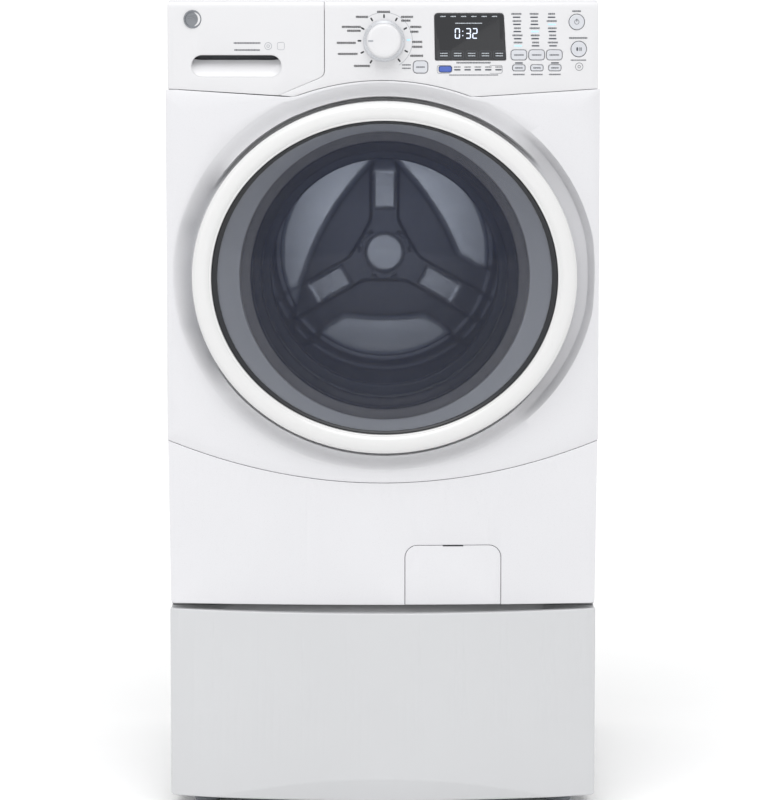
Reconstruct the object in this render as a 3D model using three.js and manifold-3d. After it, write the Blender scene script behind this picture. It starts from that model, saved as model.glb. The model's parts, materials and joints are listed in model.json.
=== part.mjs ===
// A front load washing machine standing on a storage drawer pedestal, in millimetres, +Z up.
// The front faces -Y. The origin is on the floor under the middle of the overall box.
import * as THREE from "three";
import { mergeVertices } from "three/addons/utils/BufferGeometryUtils.js";
import Module from "manifold-3d";

const wasm = await Module();
wasm.setup();

// ---------------------------------------------------------------- driving dimensions
const GAP = 0.3; // between pieces that touch
const RUNNING_GAP = 0.8; // round a button or a pin
const SEAM = 0.8; // between neighbouring front panels
const SHEET = 1.5; // painted steel sheet
const PLASTIC = 3; // moulded wall

const CABINET_WIDTH = 704;
const CABINET_DEPTH = 745;
const CABINET_HEIGHT = 982.7;
const PEDESTAL_HEIGHT = 345; // floor to its top
const FRONT_OVERHANG = 3.5; // front panels past the cabinet on each side
const FRONT_FLANGE_Y = -345; // front edge of the cabinet
const FRONT_EDGE_Y = -375; // front panels at the left and right edges
const FRONT_BOW = 22; // how far the panels bulge at the middle
const CABINET_FLANGE = 16;
const TOP_PANEL_HEIGHT = 16.7;
const WASHER_BASE_Z = PEDESTAL_HEIGHT + GAP;
const CABINET_TOP_Z = WASHER_BASE_Z + CABINET_HEIGHT;
const FASCIA_TOP_Z = CABINET_TOP_Z + 15;
const LOWER_PANEL_Z = WASHER_BASE_Z + 4.7;

const AXIS_X = 3; // drum axis
const AXIS_Z = WASHER_BASE_Z + 547.7;
const DRUM_RADIUS = 288;
const DRUM_FRONT_Y = -275;
const DRUM_BACK_Y = 240;
const DRUM_SHEET = 1.5;
const BAFFLE_HEIGHT = 52;
const BAFFLE_WIDTH = 64;
const BAFFLE_COUNT = 3;
const SPIDER_THICKNESS = 20;
const SHAFT_RADIUS = 13;

const TUB_CLEARANCE = 27; // drum to tub wall
const TUB_SPLIT_Y = -29;
const TUB_FLANGE = 10;
const HUB_LENGTH = 24;
const HUB_RADIUS = 45;
const SUSPENSION_TRAVEL = 10;
const SUSPENSION_Y = 90;
const SPRING_X = 235;
const SPRING_RADIUS = 11;
const SPRING_WIRE = 2;
const SPRING_TURNS = 5;
const SPRING_TAB_Z = CABINET_TOP_Z - 28;
const SPRING_LUG_RISE = 36; // lug above the tub wall
const DAMPER_X = 200;
const DAMPER_BORE = 9;
const DAMPER_WALL = 4;
const DAMPER_LENGTH = 150;
const DAMPER_LUG_DROP = 21; // lug below the tub wall

const PULLEY_RADIUS = 150;
const PULLEY_WIDTH = 18;
const PULLEY_Y = 325;
const MOTOR_PULLEY_RADIUS = 14;
const MOTOR_RADIUS = 58;
const MOTOR_LENGTH = 140;
const MOTOR_DROP = 385; // motor axis below the drum axis
const BELT_THICKNESS = 2.5;

const DOOR_RADIUS = 288.5; // half the height of the door's oval
const DOOR_WIDENING = 26.5; // how much its half width exceeds that
const DOOR_FRONT_Y = -428;
const DOOR_BACK_Y = -358;
const DOOR_BAND = 32; // width of the white band round the glass
const LENS_BULGE = 22;
const LENS_THICKNESS = 4;
const BOWL_MARGIN = 19.1; // from the white band in to the round bowl
const BOWL_DEPTH = 118;
const BOWL_GLASS = 5;
const DISH_FLOOR_Y = -352;
const DISH_CLEARANCE = 3.5; // door edge to the foot of the dish
const DISH_SLOPE = 0.45;
const GASKET_WALL = 4;
const HINGE_INSET = 22; // from the side of the door's oval
const HINGE_Y = -395;
const HINGE_PIN = 3.5;
const EAR_HEIGHT = 75; // hinge ears above and below the drum axis
const EAR_THICKNESS = 10;
const EAR_RADIUS = 8;
const STRIKE_INSET = 43;
const BOWL_RIM = DOOR_RADIUS - DOOR_BAND - BOWL_MARGIN;
const PANEL_MOUTH = BOWL_RIM - 15.4;
const TUB_MOUTH = PANEL_MOUTH - 15;
const DRUM_MOUTH = TUB_MOUTH - 17;
const BOWL_BOTTOM = DRUM_MOUTH - 80;
const HINGE_X = HINGE_INSET - DOOR_RADIUS - DOOR_WIDENING; // from the drum axis
const STRIKE_X = DOOR_RADIUS + DOOR_WIDENING - STRIKE_INSET;

const DRAWER_SEAM_X = -95; // right edge of the dispenser drawer front
const FASCIA_SIDE_Z = FASCIA_TOP_Z - 142;
const KNEE_X = 146;
const KNEE_Z = FASCIA_TOP_Z - 155;
const ARCH_Z = FASCIA_TOP_Z - 128;
const SEAM_CORNER_Z = FASCIA_TOP_Z - 121;
const SEAM_FOOT_X = -170;
const GRIP = { x: -239, z: FASCIA_TOP_Z - 105, width: 148, height: 36, depth: 26 };
const HOUSING_DEPTH = 280;
const HOUSING_HEIGHT = 92;
const HOUSING_WALL = 2.5;
const TRAY_ROOM = 3; // tray to the inside of its housing
const HOUSING_Z = FASCIA_TOP_Z - 115;
const TRAY_CUPS = 3;
const TRAY_HEIGHT = 60;

const KNOB = { x: 2, z: FASCIA_TOP_Z - 64, skirt: 34, face: 28, height: 24, stem: 5 };
const WINDOW_DROP = [19.5, 95.5]; // its top and bottom below the top of the fascia
const WINDOW = { left: 84, right: 198, lean: 3, corner: 6 };
const BUTTON_PROUD = 1.6;
const BUTTON_DEPTH = 9;
// The drop is from the top of the fascia to the middle of the button.
const BUTTONS = [
  { name: "steam_button", x: 61.5, drop: 106.5, width: 23, height: 19, corner: 5 },
  { name: "stain_button", x: 102, drop: 110, width: 20, height: 9, corner: 4 },
  { name: "power_button", x: 316.5, drop: 33.5, width: 24.6, height: 24.6, corner: 12.2 },
  { name: "start_button", x: 320, drop: 77.5, width: 24.6, height: 24.6, corner: 12.2 },
  { name: "level_button_1", x: 222, drop: 87, width: 25, height: 15.6, corner: 5 },
  { name: "level_button_2", x: 251, drop: 87, width: 25, height: 15.6, corner: 5 },
  { name: "level_button_3", x: 280, drop: 87, width: 25, height: 15.6, corner: 5 },
  { name: "option_button_1", x: 222, drop: 108, width: 19.5, height: 9, corner: 4 },
  { name: "option_button_2", x: 251.5, drop: 108, width: 19.5, height: 9, corner: 4 },
  { name: "option_button_3", x: 281, drop: 108, width: 19.5, height: 9, corner: 4 },
];

const LOWER_SEAM_SIDE_Z = AXIS_Z - 271;
const LOWER_SEAM_DROP = 69;
const LOWER_TAPER = 4; // the lower panel narrows by this on each side
const FILTER_DOOR = { left: 37, right: 195, top: LOWER_PANEL_Z + 99, corner: 20 };
const FILTER_HINGE_RISE = 4.5;
const PUMP = { x: 116, z: WASHER_BASE_Z + 54.7, radius: 32, front: -343, length: 120, cap: 30 };

const PEDESTAL_WIDTH = CABINET_WIDTH - 2;
const PEDESTAL_Z = 24;
const PEDESTAL_BOW = 36;
const DRAWER_FRONT_WIDTH = CABINET_WIDTH + 2;
const DRAWER_FRONT_LOW = PEDESTAL_Z + 5;
const DRAWER_FRONT_HIGH = PEDESTAL_HEIGHT - 4;
const DRAWER_SIDE_ROOM = 13; // box to the pedestal's side, for the slides
const DRAWER_BACK_ROOM = 56.7; // box to the pedestal's back
const DRAWER_BOX_LOW = PEDESTAL_Z + 21;
const DRAWER_BOX_HIGH = PEDESTAL_HEIGHT - 45;
const FINGER_GAP = { width: 547, depth: 14, drop: 12 };
const FOOT = { inset: 55, pad: 22, pad_height: 9, stem: 7 };

const VALVE = { x: -255, z: CABINET_TOP_Z - 103, width: 84, height: 46, port: 13, bore: 8, spacing: 44 };
const GLAND = { x: 262, z: WASHER_BASE_Z + 94.7, flange: 17, tube: 10, bore: 4.5 };
const PORT_REACH = 35; // valve ports past the cabinet
const COVER_BULGE = { radius: 190, slope: 30, depth: 22 };

// ---------------------------------------------------------------- derived places
const HALF_CABINET = CABINET_WIDTH / 2;
const HALF_FRONT = HALF_CABINET + FRONT_OVERHANG;
const REAR_Y = FRONT_FLANGE_Y + CABINET_DEPTH;
const WINDOW_TOP_Z = FASCIA_TOP_Z - WINDOW_DROP[0];
const WINDOW_LOW_Z = FASCIA_TOP_Z - WINDOW_DROP[1];
const TUB_RADIUS = DRUM_RADIUS + TUB_CLEARANCE + PLASTIC / 2;
const TUB_FRONT_Y = DRUM_FRONT_Y - 21;
const TUB_BACK_Y = DRUM_BACK_Y + SPIDER_THICKNESS + 25;
const CREST_Y = FRONT_EDGE_Y - FRONT_BOW;
const FAR = 600; // longer than any cut
const ROUND = 36; // sides of a large round piece
const HIDDEN_ROUND = 24; // sides of a large piece inside the casing
const SMALL_ROUND = 12; // sides of a small one
const BOW_STEPS = 14; // flats across the bowed front
const BELT_STEPS = 40; // flats on each bend of the belt

// ---------------------------------------------------------------- finishes
const FINISHES = {
  white_paint: [0xeceef0, 0.35, 0],
  white_plastic: [0xf1f2f3, 0.3, 0],
  grey_plastic: [0x9a9da1, 0.5, 0],
  pale_plastic: [0xc9ccd0, 0.45, 0],
  black_plastic: [0x1d1f22, 0.5, 0],
  blue_plastic: [0x4b5faa, 0.35, 0],
  smoked_glass: [0x3a3f48, 0.08, 0],
  clear_glass: [0xa8b4bc, 0.05, 0],
  gasket_rubber: [0x8a8d91, 0.8, 0],
  stainless_steel: [0xb9bcc0, 0.3, 1],
  cast_aluminium: [0x9fa2a5, 0.5, 1],
  zinc_steel: [0xa7abae, 0.45, 1],
  spring_steel: [0x6d7175, 0.4, 1],
  belt_rubber: [0x17181a, 0.85, 0],
  concrete: [0x8c8a85, 0.95, 0],
};

function finish(name) {
  const [color, roughness, metalness] = FINISHES[name];
  return new THREE.MeshStandardMaterial({ color, roughness, metalness });
}

// ---------------------------------------------------------------- solids
function solid(geometry) {
  const bare = new THREE.BufferGeometry();
  bare.setAttribute("position", geometry.getAttribute("position"));
  bare.setIndex(geometry.index);
  const merged = mergeVertices(bare, 1e-4);
  const corners = merged.index.array;
  const kept = [];
  for (let i = 0; i < corners.length; i += 3) {
    const [a, b, c] = corners.slice(i, i + 3);
    if (a !== b && b !== c && c !== a) kept.push(a, b, c);
  }
  const vertProperties = merged.attributes.position.array;
  return new wasm.Manifold(new wasm.Mesh({ numProp: 3, vertProperties, triVerts: new Uint32Array(kept) }));
}

function geometryOf(body) {
  const { vertProperties, triVerts } = body.getMesh();
  const indexed = new THREE.BufferGeometry();
  indexed.setAttribute("position", new THREE.BufferAttribute(vertProperties, 3));
  indexed.setIndex(new THREE.BufferAttribute(triVerts, 1));
  const flat = indexed.toNonIndexed();
  flat.computeVertexNormals();
  return flat;
}

function join(...bodies) {
  return bodies.reduce((whole, body) => whole.add(body));
}

function cut(body, ...cutters) {
  return cutters.reduce((whole, cutter) => whole.subtract(cutter), body);
}

function box([x0, x1], [y0, y1], [z0, z1]) {
  const geometry = new THREE.BoxGeometry(x1 - x0, y1 - y0, z1 - z0);
  geometry.translate((x0 + x1) / 2, (y0 + y1) / 2, (z0 + z1) / 2);
  return solid(geometry);
}

// A shape drawn in X and Z, run along Y.
function alongY(shape, y0, y1, curveSegments = 8) {
  const geometry = new THREE.ExtrudeGeometry(shape, { depth: y1 - y0, bevelEnabled: false, curveSegments });
  geometry.rotateX(Math.PI / 2);
  geometry.translate(0, y1, 0);
  return solid(geometry);
}

// A shape drawn in X and Y, run along Z.
function alongZ(shape, z0, z1, curveSegments = 8) {
  const geometry = new THREE.ExtrudeGeometry(shape, { depth: z1 - z0, bevelEnabled: false, curveSegments });
  geometry.translate(0, 0, z0);
  return solid(geometry);
}

// A round bar along X.
function alongX(radius, x0, x1, y, z, segments = 16) {
  const geometry = new THREE.CylinderGeometry(radius, radius, x1 - x0, segments);
  geometry.rotateZ(Math.PI / 2);
  geometry.translate((x0 + x1) / 2, y, z);
  return solid(geometry);
}

// A loop of [radius, y] points turned round the Y axis. The loop runs anticlockwise and may rest on the axis.
function turned(loop, segments = ROUND, shapeUp = (geometry) => geometry) {
  const onAxis = loop.findIndex(([r], i) => r === 0 && loop[(i + 1) % loop.length][0] === 0);
  const profile = onAxis < 0 ? [...loop, loop[0]] : [...loop.slice(onAxis + 1), ...loop.slice(0, onAxis + 1)];
  const points = profile.map(([r, y]) => new THREE.Vector2(r, y));
  return solid(shapeUp(new THREE.LatheGeometry(points, segments)));
}

function rod(radius, y0, y1, x = 0, z = 0, segments = SMALL_ROUND) {
  return turned([[0, y0], [radius, y0], [radius, y1], [0, y1]], segments).translate([x, 0, z]);
}

// The same, standing upright.
function post(radius, z0, z1, x, y, segments = SMALL_ROUND) {
  const shape = new THREE.Shape().absarc(0, 0, radius, 0, 2 * Math.PI);
  return alongZ(shape, z0, z1, segments / 2).translate([x, y, 0]);
}

// A strip of even thickness that follows a path of [radius, y] points, as a loop for turned().
function strip(path, thickness) {
  const normals = path.map(([r, y], i) => {
    const ends = [path[i - 1] ?? [r, y], path[i + 1] ?? [r, y]];
    const legs = [[r - ends[0][0], y - ends[0][1]], [ends[1][0] - r, ends[1][1] - y]]
      .map(([dr, dy]) => [dy / (Math.hypot(dr, dy) || 1), -dr / (Math.hypot(dr, dy) || 1)]);
    const sum = [legs[0][0] + legs[1][0], legs[0][1] + legs[1][1]];
    const square = sum[0] ** 2 + sum[1] ** 2;
    const mitre = i === 0 || i === path.length - 1 ? 1 : 2 / square;
    return [sum[0] * mitre, sum[1] * mitre];
  });
  const side = (way) => path.map(([r, y], i) => {
    const shift = (way * thickness) / 2;
    return [r === 0 ? 0 : r + normals[i][0] * shift, y + normals[i][1] * shift];
  });
  return [...side(1), ...side(-1).reverse()];
}

// Stretches what lies outside the round bowl sideways, so circles there become the door's oval.
function oval(geometry) {
  const place = geometry.getAttribute("position");
  const fullAt = DOOR_RADIUS - DOOR_BAND - 2;
  for (let i = 0; i < place.count; i += 1) {
    const radius = Math.hypot(place.getX(i), place.getZ(i));
    const share = THREE.MathUtils.clamp((radius - BOWL_RIM) / (fullAt - BOWL_RIM), 0, 1);
    if (radius > 0) place.setX(i, place.getX(i) * (1 + (share * DOOR_WIDENING) / radius));
  }
  return geometry;
}

function rounded(x0, x1, z0, z1, corner) {
  const shape = new THREE.Shape();
  const r = Math.min(corner, (x1 - x0) / 2, (z1 - z0) / 2);
  shape.moveTo(x0 + r, z0);
  shape.lineTo(x1 - r, z0);
  shape.absarc(x1 - r, z0 + r, r, -Math.PI / 2, 0);
  shape.lineTo(x1, z1 - r);
  shape.absarc(x1 - r, z1 - r, r, 0, Math.PI / 2);
  shape.lineTo(x0 + r, z1);
  shape.absarc(x0 + r, z1 - r, r, Math.PI / 2, Math.PI);
  shape.lineTo(x0, z0 + r);
  shape.absarc(x0 + r, z0 + r, r, Math.PI, 1.5 * Math.PI);
  return shape;
}

function polygon(points) {
  return new THREE.Shape(points.map(([x, y]) => new THREE.Vector2(x, y)));
}

// Front surface of the panels at a given x.
function bowAt(x, bow = FRONT_BOW, half = HALF_FRONT) {
  return FRONT_EDGE_Y - bow * (1 - (x / half) ** 2);
}

// Plan of the space behind the bowed front, drawn in X and Y: in from the front by setback, back to backY.
function bowPlan(half, setback, sideInset, backY, bow = FRONT_BOW) {
  const reach = half - sideInset;
  const arc = Array.from({ length: BOW_STEPS + 1 }, (_, i) => {
    const x = -reach + (2 * reach * i) / BOW_STEPS;
    return [x, bowAt(x, bow) + setback];
  });
  return polygon([...arc, [reach, backY], [-reach, backY]]);
}

// A layer of the bowed front, from proud in front of the surface to depth behind it.
function bowLayer(proud, depth, z0, z1, half = HALF_FRONT + 1) {
  const outer = alongZ(bowPlan(half, -proud, 0, FRONT_FLANGE_Y), z0, z1);
  const inner = alongZ(bowPlan(half + 1, depth, 0, FRONT_FLANGE_Y + 1), z0 - 1, z1 + 1);
  return outer.subtract(inner);
}

// ---------------------------------------------------------------- scene
const machine = new THREE.Group();
const axisFrame = new THREE.Group(); // the drum axis and all that is built round it
axisFrame.position.set(AXIS_X, 0, AXIS_Z);
machine.add(axisFrame);

function add(group, name, body, finishName) {
  const mesh = new THREE.Mesh(geometryOf(body), finish(finishName));
  mesh.name = name;
  group.add(mesh);
}

// ---------------------------------------------------------------- outlines of the front
// Height of the straight part of the fascia seam, between the knee and the side.
function sideSeamZ(x) {
  return KNEE_Z + ((FASCIA_SIDE_Z - KNEE_Z) * (Math.abs(x) - KNEE_X)) / (HALF_FRONT + 1 - KNEE_X);
}

// The bottom of the fascia from the right edge to the left knee, lowered by drop.
function fasciaSeam(drop) {
  return [
    [HALF_FRONT + 1, FASCIA_SIDE_Z - drop],
    [KNEE_X, KNEE_Z - drop],
    ...Array.from({ length: 11 }, (_, i) => {
      const x = KNEE_X * (0.86 - 0.172 * i);
      return [x, KNEE_Z - drop + (ARCH_Z - KNEE_Z) * (1 - (x / KNEE_X) ** 2)];
    }),
    [-KNEE_X, KNEE_Z - drop],
  ];
}

function fasciaOutline() {
  return polygon([
    [DRAWER_SEAM_X + SEAM / 2, FASCIA_TOP_Z],
    [DRAWER_SEAM_X + SEAM / 2, SEAM_CORNER_Z],
    [SEAM_FOOT_X + SEAM / 2, sideSeamZ(SEAM_FOOT_X)],
    ...fasciaSeam(0).reverse(),
    [HALF_FRONT + 1, FASCIA_TOP_Z],
  ]);
}

function drawerOutline() {
  return polygon([
    [-HALF_FRONT - 1, FASCIA_TOP_Z],
    [-HALF_FRONT - 1, FASCIA_SIDE_Z],
    [SEAM_FOOT_X - SEAM / 2, sideSeamZ(SEAM_FOOT_X)],
    [DRAWER_SEAM_X - SEAM / 2, SEAM_CORNER_Z],
    [DRAWER_SEAM_X - SEAM / 2, FASCIA_TOP_Z],
  ]);
}

function lowerSeam(drop) {
  // From left to right along the wide curve between the two front panels.
  return Array.from({ length: 25 }, (_, i) => {
    const x = (HALF_FRONT + 1) * (i / 12 - 1);
    return [x, LOWER_SEAM_SIDE_Z - drop - LOWER_SEAM_DROP * (1 - (x / HALF_FRONT) ** 2)];
  });
}

// ---------------------------------------------------------------- cabinet
function buildCabinet() {
  const lip = -HALF_CABINET + CABINET_FLANGE;
  const shape = polygon([
    [-HALF_CABINET, FRONT_FLANGE_Y], [lip, FRONT_FLANGE_Y],
    [lip, FRONT_FLANGE_Y + SHEET], [-HALF_CABINET + SHEET, FRONT_FLANGE_Y + SHEET],
    [-HALF_CABINET + SHEET, REAR_Y - SHEET], [lip, REAR_Y - SHEET],
    [lip, REAR_Y], [-HALF_CABINET, REAR_Y],
  ]);
  const left = alongZ(shape, WASHER_BASE_Z, CABINET_TOP_Z);
  const right = left.mirror([1, 0, 0]);
  const across = [-HALF_CABINET + 0.5, HALF_CABINET - 0.5];
  const floor = box(across, [FRONT_FLANGE_Y, REAR_Y], [WASHER_BASE_Z, WASHER_BASE_Z + SHEET]);
  const rearRail = box(across, [REAR_Y - SHEET, REAR_Y], [CABINET_TOP_Z - 30, CABINET_TOP_Z]);
  const parts = [left, right, floor, rearRail];
  for (const side of [-1, 1]) {
    const x = AXIS_X + side * DAMPER_X;
    const [y0, y1] = [FRONT_FLANGE_Y + 30, REAR_Y - 30];
    parts.push(box([x - 30, x + 30], [y0, y1], [WASHER_BASE_Z + 1, WASHER_BASE_Z + 13]));
    const inner = AXIS_X + side * (SPRING_X - 20);
    const outer = side * (HALF_CABINET - 1);
    const reach = [Math.min(inner, outer), Math.max(inner, outer)];
    parts.push(box(reach, [SUSPENSION_Y - 22, SUSPENSION_Y + 22], [SPRING_TAB_Z, SPRING_TAB_Z + 3]));
  }
  add(machine, "cabinet_shell", join(...parts), "white_paint");
}

function buildTopPanel() {
  const low = CABINET_TOP_Z + GAP;
  const high = low + TOP_PANEL_HEIGHT;
  const front = FRONT_FLANGE_Y - 1;
  const plan = (inset, corner) =>
    rounded(-HALF_CABINET + inset, HALF_CABINET - inset, front + inset, REAR_Y + 2 - inset, corner);
  const slab = alongZ(plan(0, 8), low, high, 4);
  const hollow = alongZ(plan(6, 4), low - 1, high - 3, 4);
  add(machine, "top_panel", slab.subtract(hollow), "white_paint");
}

function buildRearCover() {
  const y0 = REAR_Y + GAP;
  const y1 = y0 + SHEET;
  const half = HALF_CABINET - 8;
  const sheet = alongY(rounded(-half, half, WASHER_BASE_Z + 10, CABINET_TOP_Z - 8, 10), y0, y1, 3);
  const { radius, slope, depth } = COVER_BULGE;
  const path = [[radius, y0 + SHEET / 2], [radius - slope, y0 + depth], [0, y0 + depth]];
  const bulge = turned(strip(path, SHEET), 24).translate([AXIS_X, 0, AXIS_Z]);
  const opening = rod(radius - 1, y0 - 1, y1 + 1, AXIS_X, AXIS_Z, 24);
  const { x, z, width, height } = VALVE;
  const [valveX, valveZ] = [width / 2 - 8, height / 2 - 6];
  const valveHole = box([x - valveX, x + valveX], [y0 - 1, y1 + 1], [z - valveZ, z + valveZ]);
  const glandHole = rod(GLAND.tube + GAP, y0 - 1, y1 + 1, GLAND.x, GLAND.z);
  add(machine, "rear_cover", cut(join(sheet.subtract(opening), bulge), valveHole, glandHole), "zinc_steel");
}

// ---------------------------------------------------------------- front panels
function dish(grow) {
  // The hollow that the door closes into, as a cutter.
  const floor = DISH_FLOOR_Y + grow;
  const foot = DOOR_RADIUS + DISH_CLEARANCE + grow;
  const front = CREST_Y - 30;
  const mouth = foot + (floor - front) * DISH_SLOPE;
  const dish = [[0, front], [mouth, front], [foot, floor], [0, floor]];
  return turned(dish, ROUND, oval).translate([AXIS_X, 0, AXIS_Z]);
}

function buildFrontPanel() {
  const outline = polygon([...lowerSeam(-SEAM / 2), ...fasciaSeam(SEAM).slice(0, -1),
    [-KNEE_X, KNEE_Z - SEAM], [-HALF_FRONT - 1, FASCIA_SIDE_Z - SEAM]]);
  const low = LOWER_SEAM_SIDE_Z - LOWER_SEAM_DROP - 10;
  const high = ARCH_Z + 10;
  const outer = alongZ(bowPlan(HALF_FRONT, 0, 0, FRONT_FLANGE_Y - GAP), low, high)
    .intersect(alongY(outline, -FAR, 0));
  const inner = alongZ(bowPlan(HALF_FRONT, SHEET, SHEET, FRONT_FLANGE_Y + 5), low - 5, high + 5);
  const panel = outer.subtract(dish(0)).subtract(inner.subtract(dish(SHEET)));
  const cutters = [rod(PANEL_MOUTH, -FAR, 0, AXIS_X, AXIS_Z, ROUND)];
  for (const side of [-1, 1]) {
    const z = AXIS_Z + side * EAR_HEIGHT;
    const x = AXIS_X + HINGE_X;
    cutters.push(box([x - EAR_RADIUS - 2, x + EAR_RADIUS + 2], [DISH_FLOOR_Y - 5, -300],
      [z - EAR_THICKNESS / 2 - 1, z + EAR_THICKNESS / 2 + 1]));
  }
  const strikeX = AXIS_X + STRIKE_X;
  cutters.push(box([strikeX - 10, strikeX + 10], [DISH_FLOOR_Y - 5, -300], [AXIS_Z - 14, AXIS_Z + 14]));
  add(machine, "front_panel", cut(panel, ...cutters), "white_paint");
}

function filterOutline(grow) {
  const { left, right, top, corner } = FILTER_DOOR;
  const shape = rounded(left - grow, right + grow, LOWER_PANEL_Z - 60, top + grow, corner + grow);
  return alongY(shape, -FAR, 0, 6);
}

function buildLowerPanel() {
  const foot = HALF_FRONT - LOWER_TAPER;
  const outline = polygon([[-foot, LOWER_PANEL_Z], [foot, LOWER_PANEL_Z], ...lowerSeam(SEAM / 2).reverse()]);
  const high = LOWER_SEAM_SIDE_Z;
  const front = bowPlan(HALF_FRONT - 1, 0, 0, FRONT_FLANGE_Y - GAP);
  const hollow = bowPlan(HALF_FRONT - 1, SHEET, SHEET + LOWER_TAPER, FRONT_FLANGE_Y + 5);
  const shell = alongZ(front, LOWER_PANEL_Z, high).subtract(alongZ(hollow, LOWER_PANEL_Z - 5, high + 5));
  const panel = shell.intersect(alongY(outline, -FAR, 0));
  add(machine, "lower_panel", panel.subtract(filterOutline(RUNNING_GAP)), "white_paint");
  const layer = bowLayer(0, PLASTIC, LOWER_PANEL_Z + GAP, FILTER_DOOR.top + 10);
  const door = layer.intersect(filterOutline(0));
  const hingeY = bowAt((FILTER_DOOR.left + FILTER_DOOR.right) / 2) + PLASTIC + 3;
  const hingeZ = LOWER_PANEL_Z + FILTER_HINGE_RISE;
  const [spineLeft, spineRight] = [FILTER_DOOR.left + 30, FILTER_DOOR.right - 30];
  const spine = alongX(HINGE_PIN, spineLeft, spineRight, hingeY, hingeZ);
  const web = box([spineLeft, spineRight], [hingeY - 7, hingeY], [hingeZ - 2, hingeZ + 2])
    .subtract(bowLayer(40, PLASTIC / 2, LOWER_PANEL_Z - 5, LOWER_PANEL_Z + 30));
  add(machine, "filter_door", join(door, spine, web), "white_plastic");
}

// ---------------------------------------------------------------- control fascia
function buttonPrism(button, grow) {
  const { x, drop, width, height, corner } = button;
  const z = FASCIA_TOP_Z - drop;
  const [w, h] = [width / 2 + grow, height / 2 + grow];
  const steps = corner > 6 ? 5 : 2;
  return alongY(rounded(x - w, x + w, z - h, z + h, corner + grow), -FAR, 0, steps);
}

function windowPrism(grow) {
  const { lean, corner } = WINDOW;
  const [left, right] = [WINDOW.left - grow, WINDOW.right + grow];
  const [low, high] = [WINDOW_LOW_Z - grow, WINDOW_TOP_Z + grow];
  const topRight = right - lean / 2;
  const shape = new THREE.Shape();
  shape.moveTo(left, high - corner);
  shape.lineTo(left + lean / 2, low);
  shape.lineTo(right + lean, low);
  shape.lineTo(topRight, high - corner);
  shape.quadraticCurveTo(topRight, high, topRight - corner, high);
  shape.lineTo(left + corner, high);
  shape.quadraticCurveTo(left, high, left, high - corner);
  return alongY(shape, -FAR, 0, 4);
}

function fasciaMoulding(outline) {
  // The bowed wall, its side returns and the ledge along the top.
  const low = KNEE_Z - 5;
  const front = alongZ(bowPlan(HALF_CABINET, 0, 0, FRONT_FLANGE_Y - 1 - GAP), low, FASCIA_TOP_Z);
  const behind = bowPlan(HALF_CABINET, PLASTIC, PLASTIC, FRONT_FLANGE_Y + 5);
  const hollow = alongZ(behind, low - 5, FASCIA_TOP_Z - PLASTIC);
  return front.subtract(hollow).intersect(alongY(outline, -FAR, 0));
}

function buildFascia() {
  const cutters = BUTTONS.map((button) => buttonPrism(button, RUNNING_GAP));
  cutters.push(windowPrism(GAP), rod(KNOB.stem + RUNNING_GAP, -FAR, 0, KNOB.x, KNOB.z));
  add(machine, "control_fascia", cut(fasciaMoulding(fasciaOutline()), ...cutters), "white_plastic");
  const pane = bowLayer(0.6, 4, WINDOW_LOW_Z - 10, WINDOW_TOP_Z + 10).intersect(windowPrism(0));
  add(machine, "display_window", pane, "smoked_glass");
  const buttonLayer = bowLayer(BUTTON_PROUD, BUTTON_DEPTH, KNEE_Z, FASCIA_TOP_Z);
  for (const button of BUTTONS) {
    const colour = button.name === "stain_button" ? "blue_plastic" : "pale_plastic";
    add(machine, button.name, buttonLayer.intersect(buttonPrism(button, 0)), colour);
  }
}

function buildKnob() {
  const seat = bowAt(KNOB.x) - 1;
  const { skirt, face, height, stem } = KNOB;
  const front = seat - height;
  const loop = [
    [0, front], [face * 0.75, front + 1.5], [face, front + 7],
    [face + 1, seat - 7], [skirt, seat - 4], [skirt, seat], [stem, seat], [stem, seat + 14], [0, seat + 14],
  ];
  add(machine, "cycle_knob", turned(loop, HIDDEN_ROUND).translate([KNOB.x, 0, KNOB.z]), "white_plastic");
}

// ---------------------------------------------------------------- dispenser
function gripPrism(grow, y0, y1) {
  const { x, z, width, height } = GRIP;
  const [w, h] = [width / 2 + grow, height / 2 + grow];
  return alongY(rounded(x - w, x + w, z - h, z + h, h), y0, y1, 4);
}

function buildDispenser() {
  const grip = bowAt(GRIP.x);
  const floorY = grip + GRIP.depth;
  const cup = gripPrism(PLASTIC, grip + 1, floorY + PLASTIC);
  const hollow = gripPrism(0, -FAR, floorY);
  const front = join(fasciaMoulding(drawerOutline()), cup).subtract(hollow);
  add(machine, "dispenser_front", front, "white_plastic");

  const left = -HALF_CABINET + CABINET_FLANGE + 2;
  const right = DRAWER_SEAM_X - 6;
  const y0 = FRONT_FLANGE_Y + 3;
  const y1 = y0 + HOUSING_DEPTH;
  const top = HOUSING_Z + HOUSING_HEIGHT;
  const wall = HOUSING_WALL;
  const casing = box([left, right], [y0, y1], [HOUSING_Z, top])
    .subtract(box([left + wall, right - wall], [y0 - 1, y1 - wall], [HOUSING_Z + wall, top - wall]));
  add(machine, "dispenser_housing", casing, "grey_plastic");

  const inset = wall + TRAY_ROOM;
  const trayX = [left + inset, right - inset];
  const trayY = [FRONT_FLANGE_Y - GAP, y1 - 30];
  const trayZ = [HOUSING_Z + inset, HOUSING_Z + inset + TRAY_HEIGHT];
  const cups = [];
  const pitch = (trayX[1] - trayX[0] - wall) / TRAY_CUPS;
  for (let i = 0; i < TRAY_CUPS; i += 1) {
    const x = trayX[0] + wall + i * pitch;
    cups.push(box([x, x + pitch - wall], [trayY[0] + 12, trayY[1] - wall], [trayZ[0] + wall, trayZ[1] + 1]));
  }
  add(machine, "dispenser_tray", cut(box(trayX, trayY, trayZ), ...cups), "pale_plastic");
}

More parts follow.
